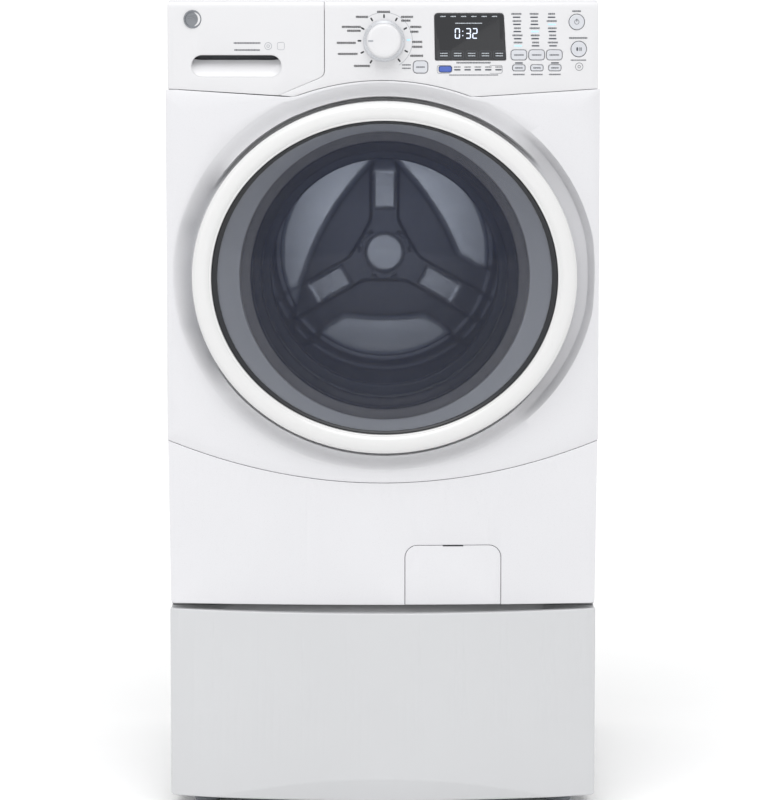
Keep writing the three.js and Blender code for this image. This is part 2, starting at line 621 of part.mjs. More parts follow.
// ---------------------------------------------------------------- door, in the drum axis frame
function earNotches() {
  return [-1, 1].map((side) => {
    const z = side * EAR_HEIGHT;
    const half = EAR_THICKNESS / 2 + 3;
    const depth = [DOOR_FRONT_Y + 13, DOOR_BACK_Y + 10];
    return box([HINGE_X - 40, HINGE_X + EAR_RADIUS + 1.5], depth, [z - half, z + half]);
  });
}

function buildDoor() {
  const inner = DOOR_RADIUS - DOOR_BAND + 0.3;
  const ringBack = DOOR_BACK_Y - 4;
  const lensSeat = DOOR_FRONT_Y + 28;
  const ring = turned([
    [DOOR_RADIUS - 16, DOOR_FRONT_Y], [DOOR_RADIUS - 4.5, DOOR_FRONT_Y + 5], [DOOR_RADIUS, DOOR_FRONT_Y + 20],
    [DOOR_RADIUS, ringBack], [DOOR_RADIUS - PLASTIC, ringBack], [DOOR_RADIUS - PLASTIC, DOOR_FRONT_Y + 20],
    [DOOR_RADIUS - 7, DOOR_FRONT_Y + 8], [DOOR_RADIUS - 16, DOOR_FRONT_Y + 3.5],
    [inner + PLASTIC, DOOR_FRONT_Y + 11],
    [inner + PLASTIC, lensSeat], [inner, lensSeat], [inner, DOOR_FRONT_Y + 8],
  ], ROUND, oval);
  add(axisFrame, "door_ring", cut(ring, ...earNotches()), "white_plastic");

  const lensEdge = inner - 0.5;
  const edgeY = DOOR_FRONT_Y + 15;
  const lensPath = [[0, edgeY - LENS_BULGE]];
  for (const share of [0.5, 0.8, 1]) {
    lensPath.push([lensEdge * share, edgeY - LENS_BULGE * (1 - share ** 2.4)]);
  }
  const lensFront = lensPath.map(([r, y]) => [r, y]);
  const lensBack = lensPath.map(([r, y]) => [r, y + LENS_THICKNESS]).reverse();
  add(axisFrame, "door_lens", turned([...lensFront, ...lensBack], ROUND, oval), "smoked_glass");

  const shelf = edgeY + LENS_THICKNESS + 1;
  const frame = turned([
    [BOWL_RIM + 0.6, DOOR_BACK_Y - 14], [lensEdge - 4, shelf], [lensEdge, shelf], [lensEdge, DOOR_BACK_Y - 6],
    [DOOR_RADIUS - PLASTIC - 0.4, DOOR_BACK_Y - 6], [DOOR_RADIUS - PLASTIC - 0.4, DOOR_BACK_Y],
    [BOWL_RIM + 0.6, DOOR_BACK_Y],
  ], ROUND, oval);
  add(axisFrame, "door_inner_frame", cut(frame, ...earNotches()), "pale_plastic");

  const rimY = DOOR_BACK_Y - 9;
  const bottomY = DOOR_BACK_Y + BOWL_DEPTH;
  const bowlPath = [[BOWL_RIM, rimY], [PANEL_MOUTH - 8, rimY], [TUB_MOUTH - 15, rimY + 16],
    [BOWL_BOTTOM + 36, bottomY - 18], [BOWL_BOTTOM, bottomY], [0, bottomY]];
  const bowlLoop = strip(bowlPath, BOWL_GLASS);
  add(axisFrame, "door_bowl", turned(bowlLoop), "clear_glass");

  const plate = box([STRIKE_X - 9, STRIKE_X + 9], [DOOR_BACK_Y + GAP, DOOR_BACK_Y + 2.8], [-22, 22]);
  const hook = join(
    box([STRIKE_X - 4, STRIKE_X + 4], [DOOR_BACK_Y + 2, DOOR_BACK_Y + 32], [-9, 9]),
    box([STRIKE_X - 7, STRIKE_X], [DOOR_BACK_Y + 25, DOOR_BACK_Y + 32], [-9, 9]),
  );
  add(axisFrame, "door_strike", join(plate, hook), "zinc_steel");

  const armHeight = EAR_HEIGHT - EAR_THICKNESS / 2 - 6;
  const pinHeight = EAR_HEIGHT + EAR_THICKNESS / 2 + 3;
  const arm = join(
    box([HINGE_X - 6, HINGE_X + 5], [HINGE_Y - 6, DOOR_BACK_Y - 6 - GAP], [-armHeight, armHeight]),
    post(HINGE_PIN, -pinHeight, pinHeight, HINGE_X, HINGE_Y),
  );
  add(axisFrame, "door_hinge_arm", arm, "zinc_steel");
}

function buildHingeLeafAndLock() {
  const plateY = DISH_FLOOR_Y + SHEET + GAP;
  const plateZ = [-EAR_HEIGHT - 20, EAR_HEIGHT + 20];
  const parts = [box([HINGE_X - 12, HINGE_X + 40], [plateY, plateY + 3], plateZ)];
  const holes = [];
  for (const side of [-1, 1]) {
    const z = [side * EAR_HEIGHT - EAR_THICKNESS / 2, side * EAR_HEIGHT + EAR_THICKNESS / 2];
    parts.push(post(EAR_RADIUS, z[0], z[1], HINGE_X, HINGE_Y));
    parts.push(box([HINGE_X - EAR_RADIUS, HINGE_X + EAR_RADIUS], [HINGE_Y, plateY + 1], z));
    holes.push(post(HINGE_PIN + GAP, z[0] - 1, z[1] + 1, HINGE_X, HINGE_Y));
  }
  add(axisFrame, "door_hinge_leaf", cut(join(...parts), ...holes), "zinc_steel");

  const lockBody = box([STRIKE_X - 24, STRIKE_X + 18], [plateY, plateY + 30], [-32, 32]);
  const slot = box([STRIKE_X - 11, STRIKE_X + 8], [plateY - 1, plateY + 26], [-13, 13]);
  add(axisFrame, "door_lock", lockBody.subtract(slot), "black_plastic");
}

function buildGasket() {
  const outer = PANEL_MOUTH - GASKET_WALL / 2 - 1.5;
  const lip = TUB_MOUTH + PLASTIC / 2 + GASKET_WALL / 2 + 2.5;
  const path = [[outer, DISH_FLOOR_Y - 3], [outer, DISH_FLOOR_Y + 4], [TUB_MOUTH - 5, DISH_FLOOR_Y + 12],
    [lip, TUB_FRONT_Y - 24], [lip, TUB_FRONT_Y - 8]];
  add(axisFrame, "door_gasket", turned(strip(path, GASKET_WALL), HIDDEN_ROUND), "gasket_rubber");
}

// ---------------------------------------------------------------- tub and drum, in the drum axis frame
function lug(x, z0, z1) {
  const heights = [Math.min(z0, z1), Math.max(z0, z1)];
  const block = box([x - 16, x + 16], [SUSPENSION_Y - 18, SUSPENSION_Y + 18], heights);
  return block.subtract(rod(TUB_RADIUS, -FAR, FAR, 0, 0, HIDDEN_ROUND));
}

const springFoot = Math.sqrt(TUB_RADIUS ** 2 - SPRING_X ** 2) + SPRING_LUG_RISE;
const damperHead = -Math.sqrt(TUB_RADIUS ** 2 - DAMPER_X ** 2) - DAMPER_LUG_DROP;

function buildTub() {
  const flangeRim = TUB_RADIUS + TUB_FLANGE;
  const frontPath = [[TUB_MOUTH, TUB_FRONT_Y - 20], [TUB_MOUTH, TUB_FRONT_Y], [TUB_RADIUS, TUB_FRONT_Y],
    [TUB_RADIUS, TUB_SPLIT_Y - PLASTIC], [flangeRim, TUB_SPLIT_Y - PLASTIC]];
  add(axisFrame, "tub_front", turned(strip(frontPath, PLASTIC), HIDDEN_ROUND), "grey_plastic");

  const rearPath = [[flangeRim, TUB_SPLIT_Y + GAP], [TUB_RADIUS, TUB_SPLIT_Y + GAP], [TUB_RADIUS, TUB_BACK_Y],
    [HUB_RADIUS - 3, TUB_BACK_Y]];
  const hub = turned([[SHAFT_RADIUS + GAP, TUB_BACK_Y - 12], [HUB_RADIUS, TUB_BACK_Y - 12],
    [HUB_RADIUS, TUB_BACK_Y + HUB_LENGTH - 12],
    [SHAFT_RADIUS + GAP, TUB_BACK_Y + HUB_LENGTH - 12]], HIDDEN_ROUND);
  const parts = [turned(strip(rearPath, PLASTIC), HIDDEN_ROUND), hub];
  for (const side of [-1, 1]) {
    parts.push(lug(side * SPRING_X, 0, springFoot));
    parts.push(lug(side * DAMPER_X, 0, damperHead));
  }
  add(axisFrame, "tub_rear", join(...parts), "grey_plastic");

  const arc = new THREE.Shape();
  const [start, end] = [THREE.MathUtils.degToRad(205), THREE.MathUtils.degToRad(335)];
  arc.absarc(0, 0, TUB_RADIUS - 18, start, end, false);
  arc.absarc(0, 0, TUB_MOUTH + 18, end, start, true);
  const block = alongY(arc, TUB_FRONT_Y - PLASTIC / 2 - GAP - 26, TUB_FRONT_Y - PLASTIC / 2 - GAP, 16);
  add(axisFrame, "counterweight", block, "concrete");
}

function buildSuspension() {
  for (const [side, label] of [[-1, "left"], [1, "right"]]) {
    const low = springFoot + GAP + SPRING_WIRE + 0.4;
    const high = SPRING_TAB_Z - AXIS_Z - GAP - SPRING_WIRE - 0.4;
    const steps = SPRING_TURNS * 8;
    const line = Array.from({ length: steps + 1 }, (_, i) => {
      const angle = (2 * Math.PI * i) / 8;
      const x = side * SPRING_X + SPRING_RADIUS * Math.cos(angle);
      const y = SUSPENSION_Y + SPRING_RADIUS * Math.sin(angle);
      return new THREE.Vector3(x, y, low + ((high - low) * i) / steps);
    });
    const wire = new THREE.Shape().absarc(0, 0, SPRING_WIRE, 0, 2 * Math.PI);
    const extrudePath = new THREE.CatmullRomCurve3(line);
    const coil = new THREE.ExtrudeGeometry(wire, { steps, extrudePath, curveSegments: 2 });
    add(axisFrame, `suspension_spring_${label}`, solid(coil), "spring_steel");

    const x = side * DAMPER_X;
    const base = WASHER_BASE_Z + 13 + GAP - AXIS_Z;
    const outer = DAMPER_BORE + DAMPER_WALL;
    const tube = post(outer, base, base + DAMPER_LENGTH, x, SUSPENSION_Y)
      .subtract(post(DAMPER_BORE, base + 6, base + DAMPER_LENGTH + 1, x, SUSPENSION_Y));
    add(axisFrame, `damper_cylinder_${label}`, tube, "black_plastic");
    const pistonZ = base + 6 + SUSPENSION_TRAVEL + 20;
    const head = damperHead - GAP;
    const rodBody = join(
      post(DAMPER_BORE - 1.5, pistonZ, pistonZ + 12, x, SUSPENSION_Y),
      post(5, pistonZ, head, x, SUSPENSION_Y),
      post(13, head - 10, head, x, SUSPENSION_Y),
    );
    add(axisFrame, `damper_rod_${label}`, rodBody, "spring_steel");
  }
}

function baffleAngle(index) {
  return 90 + (360 / BAFFLE_COUNT) * index;
}

function buildDrum() {
  const path = [[DRUM_MOUTH, DRUM_FRONT_Y], [DRUM_RADIUS - 12, DRUM_FRONT_Y],
    [DRUM_RADIUS, DRUM_FRONT_Y + 12],
    [DRUM_RADIUS, DRUM_BACK_Y - 12], [DRUM_RADIUS - 12, DRUM_BACK_Y], [0, DRUM_BACK_Y]];
  const parts = [turned(strip(path, DRUM_SHEET))];
  const ribY = [DRUM_BACK_Y - 7, DRUM_BACK_Y];
  for (let i = 0; i < BAFFLE_COUNT; i += 1) {
    const edge = [[20, 42], [150, 30], [DRUM_RADIUS - 24, 44]];
    const arm = polygon([...edge.map(([r, half]) => [r, -half]), ...edge.reverse()]);
    parts.push(alongY(arm, ...ribY).rotate([0, -baffleAngle(i), 0]));
  }
  parts.push(rod(62, ribY[0], ribY[1], 0, 0, 24));
  add(axisFrame, "drum", join(...parts), "stainless_steel");

  const inside = DRUM_RADIUS - DRUM_SHEET / 2 - GAP;
  const section = polygon([[inside - BAFFLE_HEIGHT, -9], [inside - BAFFLE_HEIGHT + 8, -14],
    [inside + 5, -BAFFLE_WIDTH / 2],
    [inside + 5, BAFFLE_WIDTH / 2], [inside - BAFFLE_HEIGHT + 8, 14], [inside - BAFFLE_HEIGHT, 9]]);
  for (let i = 0; i < BAFFLE_COUNT; i += 1) {
    const bar = alongY(section, DRUM_FRONT_Y + 26, DRUM_BACK_Y - 26)
      .intersect(rod(inside, -FAR, FAR, 0, 0, ROUND));
    add(axisFrame, `drum_baffle_${i + 1}`, bar.rotate([0, -baffleAngle(i), 0]), "pale_plastic");
  }

  const spiderY = DRUM_BACK_Y + DRUM_SHEET / 2 + GAP;
  const arms = [rod(44, spiderY, spiderY + SPIDER_THICKNESS, 0, 0, 24),
    rod(SHAFT_RADIUS, spiderY + 5, PULLEY_Y + PULLEY_WIDTH + 6, 0, 0, 24)];
  for (let i = 0; i < BAFFLE_COUNT; i += 1) {
    const arm = alongY(polygon([[20, -30], [DRUM_RADIUS - 14, -17], [DRUM_RADIUS - 14, 17], [20, 30]]),
      spiderY, spiderY + SPIDER_THICKNESS - 4);
    arms.push(arm.rotate([0, -baffleAngle(i), 0]));
  }
  add(axisFrame, "drum_spider", join(...arms), "cast_aluminium");
}

function beltLoop(grow) {
  // Outline round both pulleys, grown outwards from their rims.
  const big = PULLEY_RADIUS + grow;
  const small = MOTOR_PULLEY_RADIUS + grow;
  const lean = Math.asin((big - small) / MOTOR_DROP);
  const shape = new THREE.Shape();
  shape.absarc(0, 0, big, -lean, Math.PI + lean, false);
  shape.absarc(0, -MOTOR_DROP, small, Math.PI + lean, 2 * Math.PI - lean, false);
  return shape;
}

function buildDrive() {
  const [y0, y1] = [PULLEY_Y, PULLEY_Y + PULLEY_WIDTH];
  const middle = (y0 + y1) / 2;
  const bore = SHAFT_RADIUS + GAP;
  const wheel = turned([[bore, y0], [38, y0], [38, middle - 3], [PULLEY_RADIUS - 8, middle - 3],
    [PULLEY_RADIUS - 8, y0], [PULLEY_RADIUS, y0], [PULLEY_RADIUS, y1], [PULLEY_RADIUS - 8, y1],
    [PULLEY_RADIUS - 8, middle + 3], [38, middle + 3],
    [38, y1], [bore, y1]], HIDDEN_ROUND);
  const holeAt = (38 + PULLEY_RADIUS - 4) / 2;
  const holeRadius = (PULLEY_RADIUS - 38) / 2 - 24;
  const holes = [0, 1, 2, 3, 4].map((i) => {
    const angle = (2 * Math.PI * i) / 5;
    return rod(holeRadius, y0 - 1, y1 + 1, holeAt * Math.cos(angle), holeAt * Math.sin(angle), 10);
  });
  add(axisFrame, "drum_pulley", cut(wheel, ...holes), "cast_aluminium");

  const band = alongY(beltLoop(GAP + BELT_THICKNESS), y0 + 2, y1 - 2, BELT_STEPS)
    .subtract(alongY(beltLoop(GAP), y0 + 1, y1 - 1, BELT_STEPS));
  add(axisFrame, "drive_belt", band, "belt_rubber");

  const motorBack = PULLEY_Y - 25;
  const motorFront = motorBack - MOTOR_LENGTH;
  const clear = rod(TUB_RADIUS + PLASTIC / 2 + GAP, -FAR, FAR, 0, 0, HIDDEN_ROUND);
  const parts = [turned([[0, motorFront], [MOTOR_RADIUS - 14, motorFront], [MOTOR_RADIUS, motorFront + 14],
    [MOTOR_RADIUS, motorBack - 14], [MOTOR_RADIUS - 14, motorBack], [0, motorBack]], 24)
    .translate([0, 0, -MOTOR_DROP])];
  for (const y of [motorFront + 16, motorBack - 36]) {
    parts.push(box([-34, 34], [y, y + 20], [-MOTOR_DROP, -TUB_RADIUS + 12]).subtract(clear));
  }
  add(axisFrame, "drive_motor", join(...parts), "cast_aluminium");
  const pulley = join(
    rod(8, motorBack + GAP, y1 + 4, 0, -MOTOR_DROP, 12),
    rod(MOTOR_PULLEY_RADIUS, y0, y1, 0, -MOTOR_DROP, 20),
  );
  add(axisFrame, "motor_pulley", pulley, "spring_steel");
}

// ---------------------------------------------------------------- pump, valve, gland
function buildPlumbing() {
  const { x, z, radius, front, length, cap } = PUMP;
  const pump = join(
    rod(radius, front, front + length, x, z, 20),
    rod(radius - 6, front + length - 1, front + length + 70, x, z, 16),
    box([x - 30, x + 30], [front + 20, front + length], [WASHER_BASE_Z + SHEET + GAP, z]),
  );
  const mouth = rod(cap - 6, front - 1, front + 60, x, z, 20);
  add(machine, "drain_pump", pump.subtract(mouth), "black_plastic");
  const capBody = join(
    rod(cap, front - GAP - 8, front - GAP, x, z, 20),
    rod(cap - 8, front - GAP - 1, front + 50, x, z, 16),
    box([x - cap + 5, x + cap - 5], [front - 24, front - GAP - 7], [z - 4, z + 4]),
  );
  add(machine, "filter_cap", capBody, "grey_plastic");

  const outside = REAR_Y + GAP + SHEET + GAP;
  const { width, height, port, bore, spacing } = VALVE;
  const body = [
    box([VALVE.x - width / 2, VALVE.x + width / 2], [outside, outside + 5],
      [VALVE.z - height / 2, VALVE.z + height / 2]),
    box([VALVE.x - width / 2 + 9, VALVE.x + width / 2 - 9], [outside - 60, outside + 1],
      [VALVE.z - height / 2 + 7, VALVE.z + height / 2 - 7]),
  ];
  const bores = [];
  for (const side of [-1, 1]) {
    const portX = VALVE.x + (side * spacing) / 2;
    body.push(rod(port, outside + 4, REAR_Y + PORT_REACH, portX, VALVE.z));
    bores.push(rod(bore, outside + 8, REAR_Y + PORT_REACH + 1, portX, VALVE.z, 16));
  }
  add(machine, "water_valve", cut(join(...body), ...bores), "pale_plastic");

  const sleeve = turned([[GLAND.bore, REAR_Y - 14], [GLAND.tube, REAR_Y - 14], [GLAND.tube, outside],
    [GLAND.flange, outside], [GLAND.flange, outside + 4], [GLAND.tube, outside + 4],
    [GLAND.tube - 2, outside + 22],
    [GLAND.bore, outside + 22]], SMALL_ROUND).translate([GLAND.x, 0, GLAND.z]);
  add(machine, "cord_gland", sleeve, "black_plastic");
}

// ---------------------------------------------------------------- pedestal
function buildPedestal() {
  const half = PEDESTAL_WIDTH / 2;
  const top = WASHER_BASE_Z - GAP;
  const inner = [[-half + SHEET, half - SHEET], [FRONT_FLANGE_Y - 1, REAR_Y - SHEET],
    [PEDESTAL_Z + SHEET, top - SHEET]];
  const casing = box([-half, half], [FRONT_FLANGE_Y, REAR_Y], [PEDESTAL_Z, top]).subtract(box(...inner));
  add(machine, "pedestal_cabinet", casing, "white_paint");

  const front = DRAWER_FRONT_WIDTH / 2;
  const backY = FRONT_FLANGE_Y - 2;
  const outer = alongZ(bowPlan(front, 0, 0, backY, PEDESTAL_BOW), DRAWER_FRONT_LOW, DRAWER_FRONT_HIGH);
  const hollow = alongZ(bowPlan(front, PLASTIC, PLASTIC, backY + 5, PEDESTAL_BOW),
    DRAWER_FRONT_LOW + PLASTIC, DRAWER_FRONT_HIGH - FINGER_GAP.drop - PLASTIC);
  const { width, depth, drop } = FINGER_GAP;
  const scoopY = FRONT_EDGE_Y - PEDESTAL_BOW + depth;
  const scoopPlan = bowPlan(width / 2, depth, 0, backY - 6, PEDESTAL_BOW);
  const scoop = alongZ(scoopPlan, DRAWER_FRONT_HIGH - drop, DRAWER_FRONT_HIGH + 5)
    .intersect(box([-width / 2, width / 2], [scoopY, backY + 5],
      [DRAWER_FRONT_HIGH - drop, DRAWER_FRONT_HIGH + 5]));
  add(machine, "pedestal_drawer_front", cut(outer, hollow, scoop), "white_paint");

  const [low, high] = [DRAWER_BOX_LOW, DRAWER_BOX_HIGH];
  const halfBox = half - DRAWER_SIDE_ROOM;
  const boxY = [backY + GAP, REAR_Y - DRAWER_BACK_ROOM];
  const bin = box([-halfBox, halfBox], boxY, [low, high])
    .subtract(box([-halfBox + SHEET, halfBox - SHEET], [boxY[0] + SHEET, boxY[1] - SHEET],
      [low + SHEET, high + 1]));
  const rails = [-1, 1].map((side) => {
    const x = [side * (halfBox - 0.5), side * (halfBox + 9)].sort((a, b) => a - b);
    return box(x, [boxY[0] + 8, boxY[1]], [(low + high) / 2 - 20, (low + high) / 2 + 20]);
  });
  add(machine, "pedestal_drawer_box", join(bin, ...rails), "zinc_steel");

  let count = 0;
  for (const x of [-half + FOOT.inset, half - FOOT.inset]) {
    for (const y of [FRONT_FLANGE_Y + FOOT.inset, REAR_Y - FOOT.inset]) {
      count += 1;
      const foot = join(
        post(FOOT.pad, 0, FOOT.pad_height, x, y),
        post(FOOT.stem, FOOT.pad_height - 1, PEDESTAL_Z - GAP, x, y, 8),
      );
      add(machine, `pedestal_foot_${count}`, foot, "black_plastic");
    }
  }
}

buildCabinet();
buildTopPanel();
buildRearCover();
buildFrontPanel();
buildLowerPanel();
buildFascia();
buildKnob();
buildDispenser();
buildDoor();
buildHingeLeafAndLock();
buildGasket();
buildTub();
buildSuspension();
buildDrum();
buildDrive();
buildPlumbing();
buildPedestal();

export default machine;
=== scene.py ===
"""The visible pieces of a front load washing machine on its storage drawer pedestal, in metres."""

from __future__ import annotations

import json
import logging
import math
from dataclasses import dataclass, field
from enum import Enum
from typing import Callable, Iterable, Sequence

import bmesh
import bpy
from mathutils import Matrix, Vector, geometry

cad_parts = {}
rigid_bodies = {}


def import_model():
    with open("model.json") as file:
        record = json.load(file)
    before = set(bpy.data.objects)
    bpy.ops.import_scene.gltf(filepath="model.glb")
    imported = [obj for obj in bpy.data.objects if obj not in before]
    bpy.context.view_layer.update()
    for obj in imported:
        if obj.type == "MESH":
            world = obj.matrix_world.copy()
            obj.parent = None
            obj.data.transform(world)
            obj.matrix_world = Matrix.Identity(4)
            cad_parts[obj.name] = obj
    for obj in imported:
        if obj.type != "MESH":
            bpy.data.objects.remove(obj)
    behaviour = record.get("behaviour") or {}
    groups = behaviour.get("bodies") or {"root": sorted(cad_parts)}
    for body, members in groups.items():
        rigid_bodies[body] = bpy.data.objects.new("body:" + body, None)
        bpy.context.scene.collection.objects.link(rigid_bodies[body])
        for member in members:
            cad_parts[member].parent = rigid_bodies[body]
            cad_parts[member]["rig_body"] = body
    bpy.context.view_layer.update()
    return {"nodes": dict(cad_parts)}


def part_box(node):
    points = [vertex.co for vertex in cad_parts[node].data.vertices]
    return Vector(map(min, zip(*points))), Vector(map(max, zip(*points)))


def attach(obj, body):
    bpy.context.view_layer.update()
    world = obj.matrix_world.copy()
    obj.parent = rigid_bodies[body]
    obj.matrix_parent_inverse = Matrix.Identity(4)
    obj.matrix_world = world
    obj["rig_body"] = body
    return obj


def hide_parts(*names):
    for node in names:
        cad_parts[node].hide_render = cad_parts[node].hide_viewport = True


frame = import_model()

MM = 0.001
LOG = logging.getLogger("washer")

Point = tuple[float, float]
Color = tuple[float, float, float]
Place = tuple[float, float, float]


# ---------------------------------------------------------------- finishes
def tone(red: float, green: float, blue: float) -> Color:
    """Gives the linear colour of a paint chip named in 0 to 255."""

    def linear(value: float) -> float:
        """Turns one channel linear."""
        share = value / 255
        return share / 12.92 if share <= 0.04045 else ((share + 0.055) / 1.055) ** 2.4

    return linear(red), linear(green), linear(blue)


class Grain(Enum):
    """Which way the fine marks of a finish run."""

    EVEN = (1.0, 1.0, 1.0)
    ACROSS = (0.04, 1.0, 1.0)
    DEEP = (1.0, 0.04, 1.0)


class NodeSheet:
    """Lays out the nodes of one procedural material."""

    def __init__(self, name: str) -> None:
        """Starts a material with its shader and output.

        Args:
            name: The material's name.
        """
        self.material = bpy.data.materials.new(name)
        self.material.use_nodes = True
        self.tree = self.material.node_tree
        self.shader = self.tree.nodes["Principled BSDF"]
        self.coords = self.add("ShaderNodeTexCoord")

    def add(self, kind: str, **settings: object) -> bpy.types.Node:
        """Adds a node and sets its plain properties."""
        node = self.tree.nodes.new(kind)
        for key, value in settings.items():
            setattr(node, key, value)
        return node

    def link(self, out: bpy.types.NodeSocket, into: bpy.types.NodeSocket) -> None:
        """Joins two sockets."""
        self.tree.links.new(out, into)

    def fix(self, **values: object) -> None:
        """Sets constant values on the shader's own sockets, with _ for a space in the name."""
        for key, value in values.items():
            self.shader.inputs[key.replace("_", " ")].default_value = value

    def noise(self, scale: float, grain: Grain = Grain.EVEN, detail: float = 3.0) -> bpy.types.NodeSocket:
        """Adds a noise field.

        Args:
            scale: Features in a metre.
            grain: Which way the features run.
            detail: How many finer layers are added.

        Returns:
            The noise's value socket.
        """
        mapping = self.add("ShaderNodeMapping")
        mapping.inputs["Scale"].default_value = grain.value
        self.link(self.coords.outputs["Object"], mapping.inputs["Vector"])
        node = self.add("ShaderNodeTexNoise")
        node.inputs["Scale"].default_value = scale
        node.inputs["Detail"].default_value = detail
        self.link(mapping.outputs["Vector"], node.inputs["Vector"])
        return node.outputs["Fac"]

    def spread(self, value: bpy.types.NodeSocket, low: float, high: float) -> bpy.types.NodeSocket:
        """Maps a value from the middle of its range to low and high."""
        node = self.add("ShaderNodeMapRange")
        node.inputs["From Min"].default_value = 0.3
        node.inputs["From Max"].default_value = 0.7
        node.inputs["To Min"].default_value = low
        node.inputs["To Max"].default_value = high
        self.link(value, node.inputs["Value"])
        return node.outputs["Result"]

    def ramp(self, value: bpy.types.NodeSocket,
             stops: Sequence[tuple[float, Color]]) -> bpy.types.NodeSocket:
        """Maps a value to colours.

        Args:
            value: The socket to read.
            stops: Place and colour of each stop.

        Returns:
            The colour socket.
        """
        node = self.add("ShaderNodeValToRGB")
        marks = node.color_ramp.elements
        while len(marks) < len(stops):
            marks.new(0.5)
        for mark, (place, color) in zip(marks, stops):
            mark.position = place
            mark.color = (*color, 1.0)
        self.link(value, node.inputs["Fac"])
        return node.outputs["Color"]

    def bump(self, height: bpy.types.NodeSocket, strength: float, distance: float) -> None:
        """Raises the surface by a height field."""
        node = self.add("ShaderNodeBump")
        node.inputs["Strength"].default_value = strength
        node.inputs["Distance"].default_value = distance
        self.link(height, node.inputs["Height"])
        self.link(node.outputs["Normal"], self.shader.inputs["Normal"])


def shaded(color: Color, share: float) -> Color:
    """Makes a colour lighter or darker by a share of itself."""
    return tuple(min(1.0, channel * share) for channel in color)


@dataclass(frozen=True)
class Finish:
    """A solid surface finish, such as enamel, moulded plastic, brushed steel or cast metal."""

    name: str
    color: Color
    roughness: float
    metallic: float = 0.0
    variation: float = 0.03
    blotch: float = 4.0
    grain_scale: float = 900.0
    grain: Grain = Grain.EVEN
    bump: float = 0.08
    bump_depth: float = 0.0002
    coat: float = 0.0
    # Colour of painted shade, blended in where the mesh's "relief" attribute is high.
    painted_shade_color: Color | None = None

    def material(self) -> bpy.types.Material:
        """Gives the finish's material, made once."""
        found = bpy.data.materials.get(self.name)
        return found if found else self.build()

    def build(self) -> bpy.types.Material:
        """Builds the finish's nodes.

        Returns:
            The new material.
        """
        sheet = NodeSheet(self.name)
        sheet.fix(Metallic=self.metallic, Coat_Weight=self.coat, Coat_Roughness=0.08)
        broad = sheet.noise(self.blotch)
        dark, light = shaded(self.color, 1 - self.variation), shaded(self.color, 1 + self.variation)
        colour = sheet.ramp(broad, [(0.3, dark), (0.7, light)])
        # Painted shade: the mesh's "relief" attribute blends the colour towards the painted shade colour.
        if self.painted_shade_color:
            relief = sheet.add("ShaderNodeAttribute", attribute_name="relief")
            mix = sheet.add("ShaderNodeMix", data_type="RGBA")
            first, second = [socket for socket in mix.inputs if socket.type == "RGBA"]
            second.default_value = (*self.painted_shade_color, 1.0)
            sheet.link(relief.outputs["Fac"], mix.inputs["Factor"])
            sheet.link(colour, first)
            colour = next(socket for socket in mix.outputs if socket.type == "RGBA")
        sheet.link(colour, sheet.shader.inputs["Base Color"])
        fine = sheet.noise(self.grain_scale, self.grain, 2.0)
        rough = sheet.spread(fine, max(0.02, self.roughness - 0.04), self.roughness + 0.04)
        sheet.link(rough, sheet.shader.inputs["Roughness"])
        sheet.bump(fine, self.bump, self.bump_depth)
        return sheet.material


@dataclass(frozen=True)
class Glazing:
    """A see-through sheet, tinted or clear."""

    name: str
    color: Color
    opacity: float
    roughness: float = 0.03

    def material(self) -> bpy.types.Material:
        """Gives the glass's material, made once."""
        found = bpy.data.materials.get(self.name)
        return found if found else self.build()

    def build(self) -> bpy.types.Material:
        """Builds the glass's nodes.

        Returns:
            The new material.
        """
        sheet = NodeSheet(self.name)
        sheet.fix(Alpha=self.opacity, IOR=1.5, Specular_IOR_Level=0.6)
        film = sheet.noise(6.0)
        deep, pale = shaded(self.color, 0.92), shaded(self.color, 1.08)
        sheet.link(sheet.ramp(film, [(0.3, deep), (0.7, pale)]), sheet.shader.inputs["Base Color"])
        smear = sheet.spread(sheet.noise(40.0), self.roughness, self.roughness + 0.03)
        sheet.link(smear, sheet.shader.inputs["Roughness"])
        return sheet.material


@dataclass(frozen=True)
class Lamp:
    """A lit indicator."""

    name: str
    color: Color
    strength: float

    def material(self) -> bpy.types.Material:
        """Gives the lamp's material, made once."""
        found = bpy.data.materials.get(self.name)
        return found if found else self.build()

    def build(self) -> bpy.types.Material:
        """Builds the lamp's nodes.

        Returns:
            The new material.
        """
        sheet = NodeSheet(self.name)
        sheet.fix(Emission_Strength=self.strength, Roughness=0.4)
        uneven = sheet.noise(500.0)
        glow = sheet.ramp(uneven, [(0.3, shaded(self.color, 0.9)), (0.7, self.color)])
        sheet.link(glow, sheet.shader.inputs["Emission Color"])
        sheet.link(glow, sheet.shader.inputs["Base Color"])
        return sheet.material


